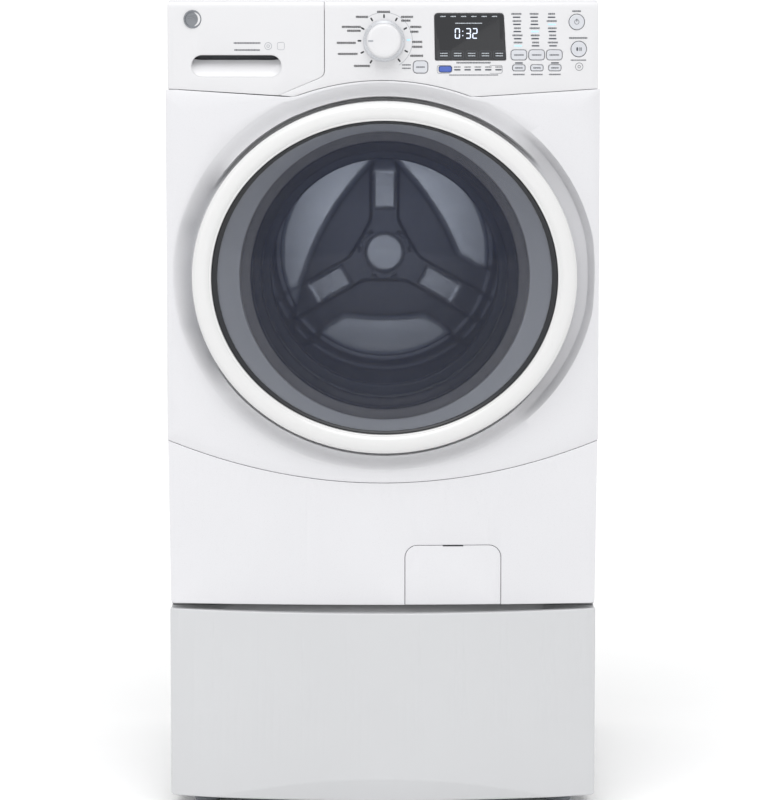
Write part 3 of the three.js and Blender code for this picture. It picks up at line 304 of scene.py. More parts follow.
@dataclass(frozen=True)
class PunchedSteel:
    """Stainless sheet with rows of small punched holes, laid out on the mesh's own unrolled coordinates."""

    name: str
    color: Color
    roughness: float
    pitch: float
    hole: float

    def material(self) -> bpy.types.Material:
        """Gives the sheet's material, made once."""
        found = bpy.data.materials.get(self.name)
        return found if found else self.build()

    def build(self) -> bpy.types.Material:
        """Builds the nodes: staggered rows of holes painted dark as shade, each with a rolled edge that is
        bumped up and painted lighter as a highlight.

        Returns:
            The new material.
        """
        sheet = NodeSheet(self.name)
        sheet.fix(Metallic=0.85)
        split = sheet.add("ShaderNodeSeparateXYZ")
        sheet.link(sheet.coords.outputs["UV"], split.inputs[0])

        def math_node(operation: str, first: object, second: object = 0.0) -> bpy.types.NodeSocket:
            """Adds one step of arithmetic on sockets or numbers."""
            node = sheet.add("ShaderNodeMath", operation=operation)
            for socket, value in zip(node.inputs, (first, second)):
                if isinstance(value, bpy.types.NodeSocket):
                    sheet.link(value, socket)
                else:
                    socket.default_value = value
            return node.outputs[0]

        row = math_node("DIVIDE", split.outputs[1], self.pitch)
        odd = math_node("MULTIPLY", math_node("MODULO", math_node("FLOOR", row), 2.0), 0.5)
        column = math_node("ADD", math_node("DIVIDE", split.outputs[0], self.pitch), odd)
        across = math_node("SUBTRACT", math_node("FRACT", column), 0.5)
        along = math_node("SUBTRACT", math_node("FRACT", row), 0.5)
        squares = math_node("ADD", math_node("POWER", across, 2.0), math_node("POWER", along, 2.0))
        away = math_node("SQRT", squares)
        edge = self.hole / self.pitch
        # Painted shade in the holes and a painted highlight on their rolled rims.
        stops = [(edge * 0.8, tone(18, 19, 22)), (edge, shaded(self.color, 1.1)), (edge * 1.5, self.color)]
        sheet.link(sheet.ramp(away, stops), sheet.shader.inputs["Base Color"])
        brushed = sheet.noise(260.0, Grain.DEEP, 4.0)
        rough = sheet.spread(brushed, self.roughness - 0.06, self.roughness + 0.06)
        sheet.link(rough, sheet.shader.inputs["Roughness"])
        relief = sheet.add("ShaderNodeMapRange")
        relief.inputs["From Min"].default_value = edge * 0.7
        relief.inputs["From Max"].default_value = edge * 1.6
        sheet.link(away, relief.inputs["Value"])
        sheet.bump(relief.outputs["Result"], 0.6, 0.0012)
        return sheet.material


class Finishes:
    """Every finish on the machine."""

    ENAMEL = Finish("white_enamel", tone(214, 214, 217), 0.3, variation=0.012, bump=0.05, coat=0.3)
    # The pedestal's white enamel, painted darker as shade because less light reaches it low down.
    PEDESTAL = Finish("pedestal_enamel_painted_shade", tone(196, 197, 199), 0.34, variation=0.012, bump=0.05, coat=0.2)
    MOULDED = Finish("white_moulding", tone(213, 213, 215), 0.32, variation=0.01, bump=0.05)
    RING = Finish("door_ring_moulding", tone(216, 216, 216), 0.22, variation=0.008, bump=0.03, coat=0.4)
    KEY = Finish("pale_key", tone(200, 202, 207), 0.4, variation=0.02, bump=0.1)
    BLUE_KEY = Finish("blue_key", tone(74, 98, 176), 0.35, variation=0.03, bump=0.1)
    GREY = Finish("grey_moulding", tone(150, 154, 160), 0.45, variation=0.04, bump=0.15)
    PALE = Finish("pale_moulding", tone(226, 231, 240), 0.38, variation=0.03, bump=0.1)
    BLACK = Finish("black_moulding", tone(26, 28, 33), 0.4, variation=0.1, bump=0.15)
    SLOT = Finish("slot_shadow", tone(60, 62, 66), 0.6, variation=0.1, bump=0.1)
    CHROME = Finish("satin_chrome", tone(206, 208, 212), 0.3, metallic=0.6, grain=Grain.ACROSS, bump=0.04)
    BADGE = Finish("badge_metal", tone(140, 143, 148), 0.3, metallic=0.8, grain=Grain.ACROSS, bump=0.06)
    INK = Finish("grey_print", tone(74, 77, 84), 0.5, variation=0.05, bump=0.02)
    DARK_INK = Finish("dark_print", tone(34, 36, 40), 0.5, variation=0.05, bump=0.02)
    PALE_INK = Finish("pale_print", tone(205, 212, 220), 0.5, variation=0.04, bump=0.02)
    DEAD_LAMP = Finish("unlit_lamp", tone(62, 66, 76), 0.3, variation=0.06, bump=0.03)
    # The drum's rear pressing; its second colour is painted shade for the pressed arms.
    STEEL = Finish("drum_steel", tone(176, 184, 198), 0.36, metallic=0.75, variation=0.05,
                   grain_scale=300.0, grain=Grain.ACROSS, bump=0.05, painted_shade_color=tone(52, 57, 68))
    ZINC = Finish("zinc_plate", tone(176, 181, 186), 0.42, metallic=0.9, variation=0.09, blotch=45.0,
                  bump=0.1)
    SPRING = Finish("spring_wire", tone(96, 100, 106), 0.36, metallic=1.0, variation=0.05, bump=0.1)
    CAST = Finish("cast_alloy", tone(150, 153, 157), 0.55, metallic=0.85, variation=0.08, blotch=60.0,
                  grain_scale=420.0, bump=0.5, bump_depth=0.0008)
    WEIGHT = Finish("counterweight_casting", tone(128, 126, 122), 0.9, variation=0.14, blotch=35.0,
                    grain_scale=260.0, bump=0.7, bump_depth=0.002)
    RUBBER = Finish("grey_rubber", tone(74, 78, 86), 0.6, variation=0.04, bump=0.15)
    BELT = Finish("black_rubber", tone(24, 25, 27), 0.8, variation=0.1, bump=0.3)
    # The drum wall's steel, darkened as painted shade for the dim inside of the drum.
    PUNCHED_SHADED = PunchedSteel("punched_steel_painted_shade", tone(104, 111, 124), 0.34, 0.0145, 0.0021)
    SMOKED = Glazing("door_tinted_sheet", tone(24, 30, 52), 0.33)
    CLEAR = Glazing("door_bowl_glass", tone(30, 36, 48), 0.2)
    PANE = Finish("display_glass", tone(20, 22, 27), 0.12, variation=0.05, bump=0.01, coat=0.5)
    LIT = Lamp("lit_lamp", tone(150, 190, 225), 0.85)
    DIGIT = Lamp("lit_digit", tone(196, 204, 222), 0.95)
    FLOOR = Finish("pale_floor", tone(252, 252, 252), 0.6, variation=0.006, bump=0.02)


# ---------------------------------------------------------------- mesh work
def smoothstep(low: float, high: float, value: float) -> float:
    """Rises softly from 0 at low to 1 at high."""
    share = min(1.0, max(0.0, (value - low) / (high - low)))
    return share * share * (3 - 2 * share)


def between(start: float, end: float, share: float) -> float:
    """Gives the value at a share of the way from start to end."""
    return start + (end - start) * share


def body_of_node(node: str) -> str:
    """Gives the body that a node rides on."""
    return frame["nodes"][node]["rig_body"]


def mark_creases(mesh: bmesh.types.BMesh, limit: float) -> None:
    """Shades a mesh smooth, apart from edges that turn more than limit degrees."""
    turn = math.radians(limit)
    for face in mesh.faces:
        face.smooth = True
    for edge in mesh.edges:
        edge.smooth = len(edge.link_faces) == 2 and edge.calc_face_angle(0.0) < turn


def piece(
    name: str,
    mesh: bmesh.types.BMesh,
    finish: Finish | Glazing | Lamp | PunchedSteel,
    stands_for: str | Sequence[str] = (),
    body: str = "",
    crease: float = 38.0,
    sheet: float = 0.0,
    tidy: bool = True,
) -> bpy.types.Object:
    """Turns a mesh into a finished piece that rides on its body.

    Args:
        name: The piece's name.
        mesh: Its geometry in the row frame. It is freed.
        finish: What it is made of.
        stands_for: The CAD node or nodes that it replaces.
        body: The body it rides on, if not that of the first node.
        crease: Edges that turn more than this many degrees stay sharp.
        sheet: Thickness to give an open surface, behind it.
        tidy: Whether the faces are turned outwards first.

    Returns:
        The new object.
    """
    nodes = [stands_for] if isinstance(stands_for, str) else list(stands_for)
    bmesh.ops.remove_doubles(mesh, verts=mesh.verts, dist=1e-7)
    if tidy and not sheet:
        bmesh.ops.recalc_face_normals(mesh, faces=mesh.faces)
    mark_creases(mesh, crease)
    data = bpy.data.meshes.new(name)
    mesh.to_mesh(data)
    mesh.free()
    made = bpy.data.objects.new(name, data)
    bpy.context.scene.collection.objects.link(made)
    data.materials.append(finish.material())
    if sheet:
        thick = made.modifiers.new("Sheet", "SOLIDIFY")
        thick.thickness = sheet
        thick.offset = -1.0
        thick.use_even_offset = False
    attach(made, body or body_of_node(nodes[0]))
    if nodes:
        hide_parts(*nodes)
    return made


def carve(made: bpy.types.Object, cutter: bmesh.types.BMesh) -> None:
    """Takes a cutter's volume away from a piece.

    Args:
        made: The piece.
        cutter: The volume to take away. It is freed.
    """
    data = bpy.data.meshes.new("cutter")
    bmesh.ops.recalc_face_normals(cutter, faces=cutter.faces)
    cutter.to_mesh(data)
    cutter.free()
    tool = bpy.data.objects.new("cutter", data)
    bpy.context.scene.collection.objects.link(tool)
    cut = made.modifiers.new("Cut", "BOOLEAN")
    cut.operation, cut.solver, cut.object = "DIFFERENCE", "EXACT", tool
    bpy.context.view_layer.update()
    shape = bpy.data.meshes.new_from_object(made.evaluated_get(bpy.context.evaluated_depsgraph_get()))
    made.modifiers.remove(cut)
    made.data = shape
    bpy.data.objects.remove(tool)


def dress(node: str, finish: Finish | Glazing | PunchedSteel) -> None:
    """Gives a CAD node its material."""
    made = frame["nodes"][node]
    if not made.material_slots:
        made.data.materials.append(None)
    for holder in made.material_slots:
        holder.link = "OBJECT"
        holder.material = finish.material()


def soften(node: str, width: float) -> None:
    """Rounds a CAD node's sharp edges with modifiers."""
    made = frame["nodes"][node]
    weld = made.modifiers.new("Weld", "WELD")
    weld.merge_threshold = 1e-5
    bevel = made.modifiers.new("Bevel", "BEVEL")
    bevel.width, bevel.segments = width, 3
    bevel.limit_method, bevel.angle_limit = "ANGLE", math.radians(40)


def offset_loop(loop: Sequence[Point], inwards: float) -> list[Point]:
    """Moves an anticlockwise loop inwards, or a clockwise one outwards.

    Args:
        loop: The closed loop's points.
        inwards: The distance.

    Returns:
        The moved loop.
    """
    moved = []
    for i, (x, z) in enumerate(loop):
        (x0, z0), (x1, z1) = loop[i - 1], loop[(i + 1) % len(loop)]
        before = math.hypot(x - x0, z - z0) or 1.0
        after = math.hypot(x1 - x, z1 - z) or 1.0
        side = (-(z - z0) / before - (z1 - z) / after, (x - x0) / before + (x1 - x) / after)
        square = max(0.6, side[0] ** 2 + side[1] ** 2)
        moved.append((x + side[0] * 2 * inwards / square, z + side[1] * 2 * inwards / square))
    return moved


def rounded_loop(corners: Sequence[tuple[float, float, float]], steps: int = 6) -> list[Point]:
    """Rounds the corners of a loop.

    Args:
        corners: Each corner's two coordinates and its radius.
        steps: Straight pieces in each corner.

    Returns:
        The loop's points, in the same order.
    """
    loop: list[Point] = []
    for i, (x, z, radius) in enumerate(corners):
        if radius <= 0:
            loop.append((x, z))
            continue
        here = Vector((x, z))
        back = Vector(corners[i - 1][:2]) - here
        ahead = Vector(corners[(i + 1) % len(corners)][:2]) - here
        run = min(back.length, ahead.length) / 2
        back.normalize()
        ahead.normalize()
        half = math.acos(max(-1.0, min(1.0, back.dot(ahead)))) / 2
        reach = min(run, radius / math.tan(half))
        bulge = reach * math.tan(half)
        centre = here + (back + ahead).normalized() * (bulge / math.sin(half))
        start, end = here + back * reach - centre, here + ahead * reach - centre
        for step in range(steps + 1):
            spoke = start.lerp(end, step / steps).normalized() * bulge
            if step in (0, steps):
                spoke = (start, end)[step > 0]
            loop.append(tuple(centre + spoke))
    return loop


def box_loop(x0: float, x1: float, z0: float, z1: float, radius: float, steps: int = 6) -> list[Point]:
    """Gives an anticlockwise rectangle with rounded corners."""
    return rounded_loop([(x0, z0, radius), (x1, z0, radius), (x1, z1, radius), (x0, z1, radius)], steps)


def circle_loop(x: float, z: float, radius: float, steps: int = 48) -> list[Point]:
    """Gives an anticlockwise circle."""
    turn = [2 * math.pi * i / steps for i in range(steps)]
    return [(x + radius * math.cos(a), z + radius * math.sin(a)) for a in turn]


@dataclass(frozen=True)
class Bow:
    """The bulged face that the front pieces follow: a parabola in plan."""

    edge: float
    crest: float
    half: float

    @classmethod
    def of(cls, node: str) -> Bow:
        """Reads the bow off a CAD node that reaches both sides."""
        low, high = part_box(node)
        side = [v.co.y for v in frame["nodes"][node].data.vertices if v.co.x > high.x - MM]
        return cls(min(side), low.y, (high.x - low.x) / 2)

    def at(self, x: float, z: float = 0.0) -> float:
        """Gives the surface's place at a point of the front."""
        return self.edge + (self.crest - self.edge) * (1 - min(1.0, abs(x) / self.half) ** 2)


Surface = Callable[[float, float], float]


def plate(
    outline: Sequence[Point],
    surface: Surface,
    holes: Iterable[Sequence[Point]] = (),
    edge: float = 0.0015,
    flange: float = 0.01,
    hole_flange: float = 0.006,
    step: float = 0.012,
    rows: Sequence[float] = (),
) -> bmesh.types.BMesh:
    """Makes a bulged panel with rolled edges, open behind.

    Args:
        outline: Anticlockwise loop in X and Z.
        surface: Gives the face's Y at a point.
        holes: Anticlockwise loops cut out of it.
        edge: Radius of the rolled edges.
        flange: How far the outer edge turns back.
        hole_flange: How far the edges of the holes turn back.
        step: Width of the strips that follow the bulge.
        rows: Heights of extra cuts across.

    Returns:
        The open surface.
    """
    mesh = bmesh.new()
    loops = [(list(outline), flange)] + [(list(reversed(h)), hole_flange) for h in holes]
    fronts: list[list[bmesh.types.BMVert]] = []
    turns = 3
    for loop, depth in loops:
        rings = []
        for k in range(turns + 1):
            angle = math.pi / 2 * k / turns
            ring = offset_loop(loop, edge * (1 - math.sin(angle)))
            rings.append([mesh.verts.new((x, edge * (1 - math.cos(angle)), z)) for x, z in ring])
        rings.append([mesh.verts.new((x, depth, z)) for x, z in loop])
        for inner, outer in zip(rings, rings[1:]):
            for i in range(len(loop)):
                j = (i + 1) % len(loop)
                mesh.faces.new((inner[i], outer[i], outer[j], inner[j]))
        fronts.append(rings[0])
    rims = [mesh.edges.get((ring[i - 1], ring[i])) for ring in fronts for i in range(len(ring))]
    bmesh.ops.triangle_fill(mesh, use_beauty=True, edges=rims, normal=(0, -1, 0))
    for face in mesh.faces:
        face.normal_update()
        if face.normal.y > 0.5:
            face.normal_flip()
    xs = [x for x, _ in outline]
    zs = [z for _, z in outline]
    count = int((max(xs) - min(xs)) / step)
    cuts = [(Vector((min(xs) + (max(xs) - min(xs)) * i / count, 0, 0)), Vector((1, 0, 0)))
            for i in range(1, count)]
    cuts += [(Vector((0, 0, z)), Vector((0, 0, 1))) for z in rows if min(zs) < z < max(zs)]
    for place, normal in cuts:
        everything = [*mesh.verts, *mesh.edges, *mesh.faces]
        bmesh.ops.bisect_plane(mesh, geom=everything, dist=1e-6, plane_co=place, plane_no=normal)
    for vert in mesh.verts:
        vert.co.y += surface(vert.co.x, vert.co.z)
    return mesh


def lathe(
    profile: Sequence[Point],
    centre: Place,
    steps: int = 128,
    widen: Callable[[float], float] = lambda radius: 0.0,
    closed: bool = True,
) -> bmesh.types.BMesh:
    """Turns a profile round an axis that runs front to back.

    Args:
        profile: Points of radius and Y, where Y adds to the centre's.
        centre: A point on the axis.
        steps: Pieces round the circle.
        widen: How much the half width exceeds the radius, which makes an oval.
        closed: Whether the last point joins the first.

    Returns:
        The turned surface.
    """
    mesh = bmesh.new()
    rings: list[list[bmesh.types.BMVert]] = []
    for radius, y in profile:
        place = Vector(centre) + Vector((0, y, 0))
        if radius < 1e-7:
            rings.append([mesh.verts.new(place)])
            continue
        ring = []
        for i in range(steps):
            angle = 2 * math.pi * i / steps
            across, up = (radius + widen(radius)) * math.cos(angle), radius * math.sin(angle)
            ring.append(mesh.verts.new(place + Vector((across, 0, up))))
        rings.append(ring)
    pairs = list(zip(rings, rings[1:]))
    if closed and len(rings[0]) > 1 and len(rings[-1]) > 1:
        pairs.append((rings[-1], rings[0]))
    for first, second in pairs:
        if len(first) == 1 and len(second) == 1:
            continue
        for i in range(steps):
            j = (i + 1) % steps
            if len(first) == 1:
                mesh.faces.new((first[0], second[j], second[i]))
            elif len(second) == 1:
                mesh.faces.new((first[i], first[j], second[0]))
            else:
                mesh.faces.new((first[i], first[j], second[j], second[i]))
    return mesh


def arc(centre: Point, radius: float, start: float, end: float, steps: int = 6) -> list[Point]:
    """Gives points along an arc, from start to end in degrees."""
    turns = [math.radians(between(start, end, i / steps)) for i in range(steps + 1)]
    return [(centre[0] + radius * math.cos(a), centre[1] + radius * math.sin(a)) for a in turns]


def bend(start: Point, corner: Point, end: Point, radius: float, steps: int = 6) -> list[Point]:
    """Rounds a corner between two straight lines.

    Args:
        start: A point on the line before the corner.
        corner: The sharp corner.
        end: A point on the line after it.
        radius: How far from the corner the curve begins.
        steps: Pieces in the curve.

    Returns:
        The curve's points.
    """
    ends = []
    for far in (start, end):
        share = radius / math.hypot(far[0] - corner[0], far[1] - corner[1])
        ends.append((between(corner[0], far[0], share), between(corner[1], far[1], share)))
    curve = []
    for i in range(steps + 1):
        t = i / steps
        weights = (1 - t) ** 2, 2 * t * (1 - t), t * t
        curve.append(tuple(sum(w * at[k] for w, at in zip(weights, (ends[0], corner, ends[1])))
                           for k in (0, 1)))
    return curve


def block(low: Place, high: Place, radius: float, segments: int = 3) -> bmesh.types.BMesh:
    """Makes a box with rounded edges.

    Args:
        low: Its lowest corner.
        high: Its highest corner.
        radius: Radius of the edges.
        segments: Pieces in each rounded edge.

    Returns:
        The box.
    """
    mesh = bmesh.new()
    bmesh.ops.create_cube(mesh, size=1.0)
    for vert in mesh.verts:
        for axis in range(3):
            vert.co[axis] = low[axis] if vert.co[axis] < 0 else high[axis]
    bmesh.ops.bevel(mesh, geom=list(mesh.edges), offset=radius, segments=segments, profile=0.5,
                    affect="EDGES")
    return mesh


def prism(loop: Sequence[Point], y0: float, y1: float, radius: float = 0.0) -> bmesh.types.BMesh:
    """Runs a loop in X and Z from y0 back to y1, its front edge rounded."""
    mesh = bmesh.new()
    rings = []
    turns = 3 if radius else 0
    for k in range(turns + 1):
        angle = math.pi / 2 * k / max(1, turns)
        ring = offset_loop(loop, radius * (1 - math.sin(angle))) if radius else list(loop)
        depth = radius * (1 - math.cos(angle))
        rings.append([mesh.verts.new((x, y0 + depth, z)) for x, z in ring])
    rings.append([mesh.verts.new((x, y1, z)) for x, z in loop])
    for inner, outer in zip(rings, rings[1:]):
        for i in range(len(loop)):
            j = (i + 1) % len(loop)
            mesh.faces.new((inner[i], outer[i], outer[j], inner[j]))
    mesh.faces.new(rings[0])
    mesh.faces.new(list(reversed(rings[-1])))
    return mesh


def follow(mesh: bmesh.types.BMesh, surface: Surface) -> bmesh.types.BMesh:
    """Moves each point of a mesh back by the surface's place there."""
    for vert in mesh.verts:
        vert.co.y += surface(vert.co.x, vert.co.z)
    return mesh


def merge(parts: Iterable[bmesh.types.BMesh]) -> bmesh.types.BMesh:
    """Puts several meshes into one, which is returned. The others are freed."""
    whole = bmesh.new()
    for part in parts:
        part.verts.index_update()
        made = [whole.verts.new(vert.co) for vert in part.verts]
        for face in part.faces:
            whole.faces.new([made[vert.index] for vert in face.verts])
        part.free()
    return whole


def upright(mesh: bmesh.types.BMesh, x: float, y: float) -> bmesh.types.BMesh:
    """Stands a piece that was turned about the Y axis on the floor at x and y, its front end down."""
    for vert in mesh.verts:
        vert.co = Vector((vert.co.x + x, y + vert.co.z, vert.co.y))
    return mesh


def spun(mesh: bmesh.types.BMesh, centre: Place, degrees: float) -> bmesh.types.BMesh:
    """Turns a mesh about the front to back axis through a centre, anticlockwise from the front."""
    cos, sin = math.cos(math.radians(degrees)), math.sin(math.radians(degrees))
    for vert in mesh.verts:
        x, z = vert.co.x - centre[0], vert.co.z - centre[2]
        vert.co.x, vert.co.z = centre[0] + x * cos - z * sin, centre[2] + x * sin + z * cos
    return mesh


def about_face(mesh: bmesh.types.BMesh) -> bmesh.types.BMesh:
    """Turns a mesh half round the upright axis, so that it faces the rear."""
    for vert in mesh.verts:
        vert.co.x, vert.co.y = -vert.co.x, -vert.co.y
    return mesh


def smooth_path(points: Sequence[Point], steps: int = 6) -> list[Point]:
    """Draws a smooth curve through points of radius and Y.

    Args:
        points: The points to pass through.
        steps: Straight pieces between neighbours.

    Returns:
        The curve's points.
    """
    path: list[Point] = []
    last = len(points) - 1
    for i in range(last):
        a, b, c, d = (Vector(points[min(last, max(0, k))]) for k in (i - 1, i, i + 1, i + 2))
        for step in range(steps):
            t = step / steps
            curve = (2 * b + (c - a) * t + (2 * a - 5 * b + 4 * c - d) * t * t
                     + (3 * b - a - 3 * c + d) * t ** 3)
            path.append((max(0.0, curve.x / 2), curve.y / 2))
    path.append(tuple(points[-1]))
    return path


def walled(path: Sequence[Point], thickness: float) -> list[Point]:
    """Gives an open profile a thickness, to one side, as a closed loop."""
    back = []
    for i, (r, y) in enumerate(path):
        r0, y0 = path[max(0, i - 1)]
        r1, y1 = path[min(len(path) - 1, i + 1)]
        run = math.hypot(r1 - r0, y1 - y0) or 1.0
        back.append((max(0.0, r - (y1 - y0) / run * thickness) if r > 1e-7 else 0.0,
                     y + (r1 - r0) / run * thickness))
    return [*path, *reversed(back)]


# ---------------------------------------------------------------- print and lamps
class Glyph(Enum):
    """A generic mark printed on the front."""

    WORDS = "words"
    BAR = "bar"
    RING = "ring"
    FRAME = "frame"


@dataclass(frozen=True)
class Mark:
    """One printed mark: its middle, its size and its kind."""

    x: float
    z: float
    width: float
    height: float
    glyph: Glyph = Glyph.WORDS

    def loops(self) -> list[tuple[list[Point], list[Point]]]:
        """Gives the mark's shapes, each as an outer loop and an inner loop that may be empty.

        Returns:
            The shapes' loops.
        """
        x0, x1 = self.x - self.width / 2, self.x + self.width / 2
        z0, z1 = self.z - self.height / 2, self.z + self.height / 2
        if self.glyph is Glyph.BAR:
            return [(box_loop(x0, x1, z0, z1, self.height * 0.4, 3), [])]
        if self.glyph is Glyph.RING:
            line = 0.0007
            return [(circle_loop(self.x, self.z, self.width / 2, 32),
                     circle_loop(self.x, self.z, self.width / 2 - line, 32))]
        if self.glyph is Glyph.FRAME:
            line = 0.0005
            radius = min(self.width, self.height) * 0.25
            return [(box_loop(x0, x1, z0, z1, radius, 4),
                     box_loop(x0 + line, x1 - line, z0 + line, z1 - line, radius - line, 4))]
        strokes, at, count = [], x0, 0
        pattern = (1.1, 0.7, 1.4, 0.9, 0.6, 1.2, 0.8)
        while at < x1 - 0.0004:
            end = min(x1, at + pattern[count % len(pattern)] * MM)
            tall = self.height * (0.5 if count % 3 else 0.42)
            strokes.append(([(at, self.z - tall), (end, self.z - tall), (end, self.z + tall),
                             (at, self.z + tall)], []))
            at = end + 0.45 * MM
            count += 1
        return strokes


def printed(marks: Iterable[Mark], surface: Surface, proud: float = 0.00025) -> bmesh.types.BMesh:
    """Lays marks on a surface as thin raised print.

    Args:
        marks: The marks.
        surface: Gives the surface's Y at a point.
        proud: Thickness of the print.

    Returns:
        All of them in one mesh.
    """
    mesh = bmesh.new()
    for mark in marks:
        for outer, inner in mark.loops():
            layers = []
            for depth in (-proud, proud):
                layers.append([[mesh.verts.new((x, surface(x, z) + depth, z)) for x, z in loop]
                               for loop in (outer, inner)])
            (front, front_hole), (back, back_hole) = layers
            count = len(front)
            for i in range(count):
                j = (i + 1) % count
                mesh.faces.new((front[i], back[i], back[j], front[j]))
                if front_hole:
                    mesh.faces.new((front_hole[i], front_hole[j], back_hole[j], back_hole[i]))
                    mesh.faces.new((front[i], front[j], front_hole[j], front_hole[i]))
                    mesh.faces.new((back[i], back_hole[i], back_hole[j], back[j]))
            if not front_hole:
                mesh.faces.new(front)
                mesh.faces.new(list(reversed(back)))
    return mesh


DIGIT_BARS = {0: "abcdef", 2: "abged", 3: "abgcd"}


def digit(value: int, x: float, z: float, width: float, height: float) -> list[Mark]:
    """Gives the lit bars of one read-out digit, whose middle is at x and z."""
    line = 0.0017
    half, quarter = height / 2, height / 4
    places = {
        "a": (0, half, width, line), "g": (0, 0, width, line), "d": (0, -half, width, line),
        "b": (width / 2, quarter, line, half), "c": (width / 2, -quarter, line, half),
        "f": (-width / 2, quarter, line, half), "e": (-width / 2, -quarter, line, half),
    }
    return [Mark(x + dx, z + dz, w, h * 0.92, Glyph.BAR) if w > h
            else Mark(x + dx, z + dz, w, h * 0.86, Glyph.BAR)
            for dx, dz, w, h in (places[bar] for bar in DIGIT_BARS[value])]


# ---------------------------------------------------------------- control fascia
@dataclass
class ControlFascia:
    """The bowed moulding with the display, the keys, the cycle knob and its print."""

    bow: Bow
    knee_x: float = 0.146
    arch_rise: float = 0.027
    side_rise: float = 0.013
    glass_proud: float = 0.0006
    digit_drop: float = 0.0325
    tick_gap: float = 0.006
    tick: tuple[float, float] = (0.0026, 0.0064)
    lit_tick: tuple[float, float] = (0.0024, 0.006)
    corner_rise: float = 0.034
    corner_radius: float = 0.009
    top_roll: float = 0.012
    top_roll_depth: float = 0.006
    key_gap: float = 0.0008
    lean: float = 0.003
    low: Vector = field(init=False)
    high: Vector = field(init=False)

    def __post_init__(self) -> None:
        """Reads the moulding's box."""
        self.low, self.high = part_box("control_fascia")

    def surface(self, x: float, z: float) -> float:
        """Gives the face's Y: the bow, rolled back along the top."""
        share = max(0.0, (z - self.high.z + self.top_roll) / self.top_roll)
        return self.bow.at(x) + self.top_roll_depth * (1 - math.sqrt(max(0.0, 1 - share * share)))

    def arch(self, x: float) -> float:
        """Gives the height of the lower edge."""
        if abs(x) > self.knee_x:
            return self.low.z + self.side_rise * (abs(x) - self.knee_x) / (self.high.x - self.knee_x)
        return self.low.z + self.arch_rise * (1 - (x / self.knee_x) ** 2)

    def key_loop(self, node: str, grow: float = 0.0) -> list[Point]:
        """Gives a key's outline, grown by a margin."""
        low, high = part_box(node)
        size = min(high.x - low.x, high.z - low.z)
        radius = size / 2 - MM / 5 if abs((high.x - low.x) - (high.z - low.z)) < MM else size * 0.3
        return box_loop(low.x - grow, high.x + grow, low.z - grow, high.z + grow, radius + grow, 8)

    def window_loop(self, grow: float = 0.0) -> list[Point]:
        """Gives the display's outline, grown by a margin."""
        low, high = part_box("display_window")
        lean = self.lean
        return rounded_loop([
            (low.x + lean / 2 - grow, low.z - grow, 0.002), (high.x + grow, low.z - grow, 0.002),
            (high.x - lean * 1.5 + grow, high.z + grow, 0.006), (low.x - grow, high.z + grow, 0.006)])

    def outline(self) -> list[Point]:
        """Gives the moulding's outline."""
        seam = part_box("dispenser_front")[1].x + 0.0008
        foot, corner = (self.low.x, self.low.z + 0.0025), (seam, self.low.z + self.corner_rise)
        curve = [(x, self.arch(x)) for x in (self.knee_x * (i / 12 - 1) for i in range(25))]
        return [foot, *curve, (self.high.x, self.low.z + self.side_rise),
                *arc((self.high.x - 0.006, self.high.z - 0.006), 0.006, 0, 90),
                (seam, self.high.z), *bend((seam, self.high.z), corner, foot, self.corner_radius)]

    def build_moulding(self, keys: Sequence[str]) -> None:
        """Builds the moulding round its keys and display."""
        holes = [self.key_loop(key, self.key_gap) for key in keys] + [self.window_loop(0.0004)]
        rows = [self.high.z - self.top_roll * share for share in (1.0, 0.8, 0.6, 0.4, 0.25, 0.12, 0.04)]
        mesh = plate(self.outline(), self.surface, holes, edge=0.0012, flange=0.02, rows=rows)
        piece("control_fascia_moulding", mesh, Finishes.MOULDED, "control_fascia", sheet=0.002)

    def build_key(self, node: str) -> None:
        """Builds one key with a soft edge and a shallow dish."""
        low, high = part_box(node)
        middle = (low + high) / 2
        half = max(high.x - low.x, high.z - low.z) / 2

        def face(x: float, z: float) -> float:
            """Gives the key's face: proud of the moulding and slightly dished."""
            away = math.hypot(x - middle.x, z - middle.z) / half
            return self.bow.at(x) - 0.0014 + 0.0006 * max(0.0, 1 - away * away)

        mesh = plate(self.key_loop(node), face, edge=0.0012, flange=0.006, step=0.003,
                     rows=[between(low.z, high.z, i / 6) for i in range(1, 6)])
        finish = Finishes.BLUE_KEY if node == "stain_button" else Finishes.KEY
        piece(node + "_cap", mesh, finish, node, sheet=0.0012)
        if finish is Finishes.KEY:
            radius = (high.x - low.x) * 0.62
            mark = [Mark(middle.x, middle.z, radius, 0.0022)]
            if node == "start_button":
                mark = [Mark(middle.x - 0.0025, middle.z, 0.003, 0.006, Glyph.BAR),
                        Mark(middle.x + 0.0018, middle.z, 0.0012, 0.006, Glyph.BAR),
                        Mark(middle.x + 0.004, middle.z, 0.0012, 0.006, Glyph.BAR)]
            elif node == "power_button":
                mark = [Mark(middle.x, middle.z, 0.008, 0.008, Glyph.RING),
                        Mark(middle.x, middle.z + 0.003, 0.0012, 0.005, Glyph.BAR)]
            piece(node + "_print", printed(mark, face), Finishes.INK, body=body_of_node(node))

    def build_display(self) -> None:
        """Builds the display's glass and what shows on it."""
        def glass(x: float, _z: float) -> float:
            """Gives the front of the glass at a place on it."""
            return self.bow.at(x) - self.glass_proud

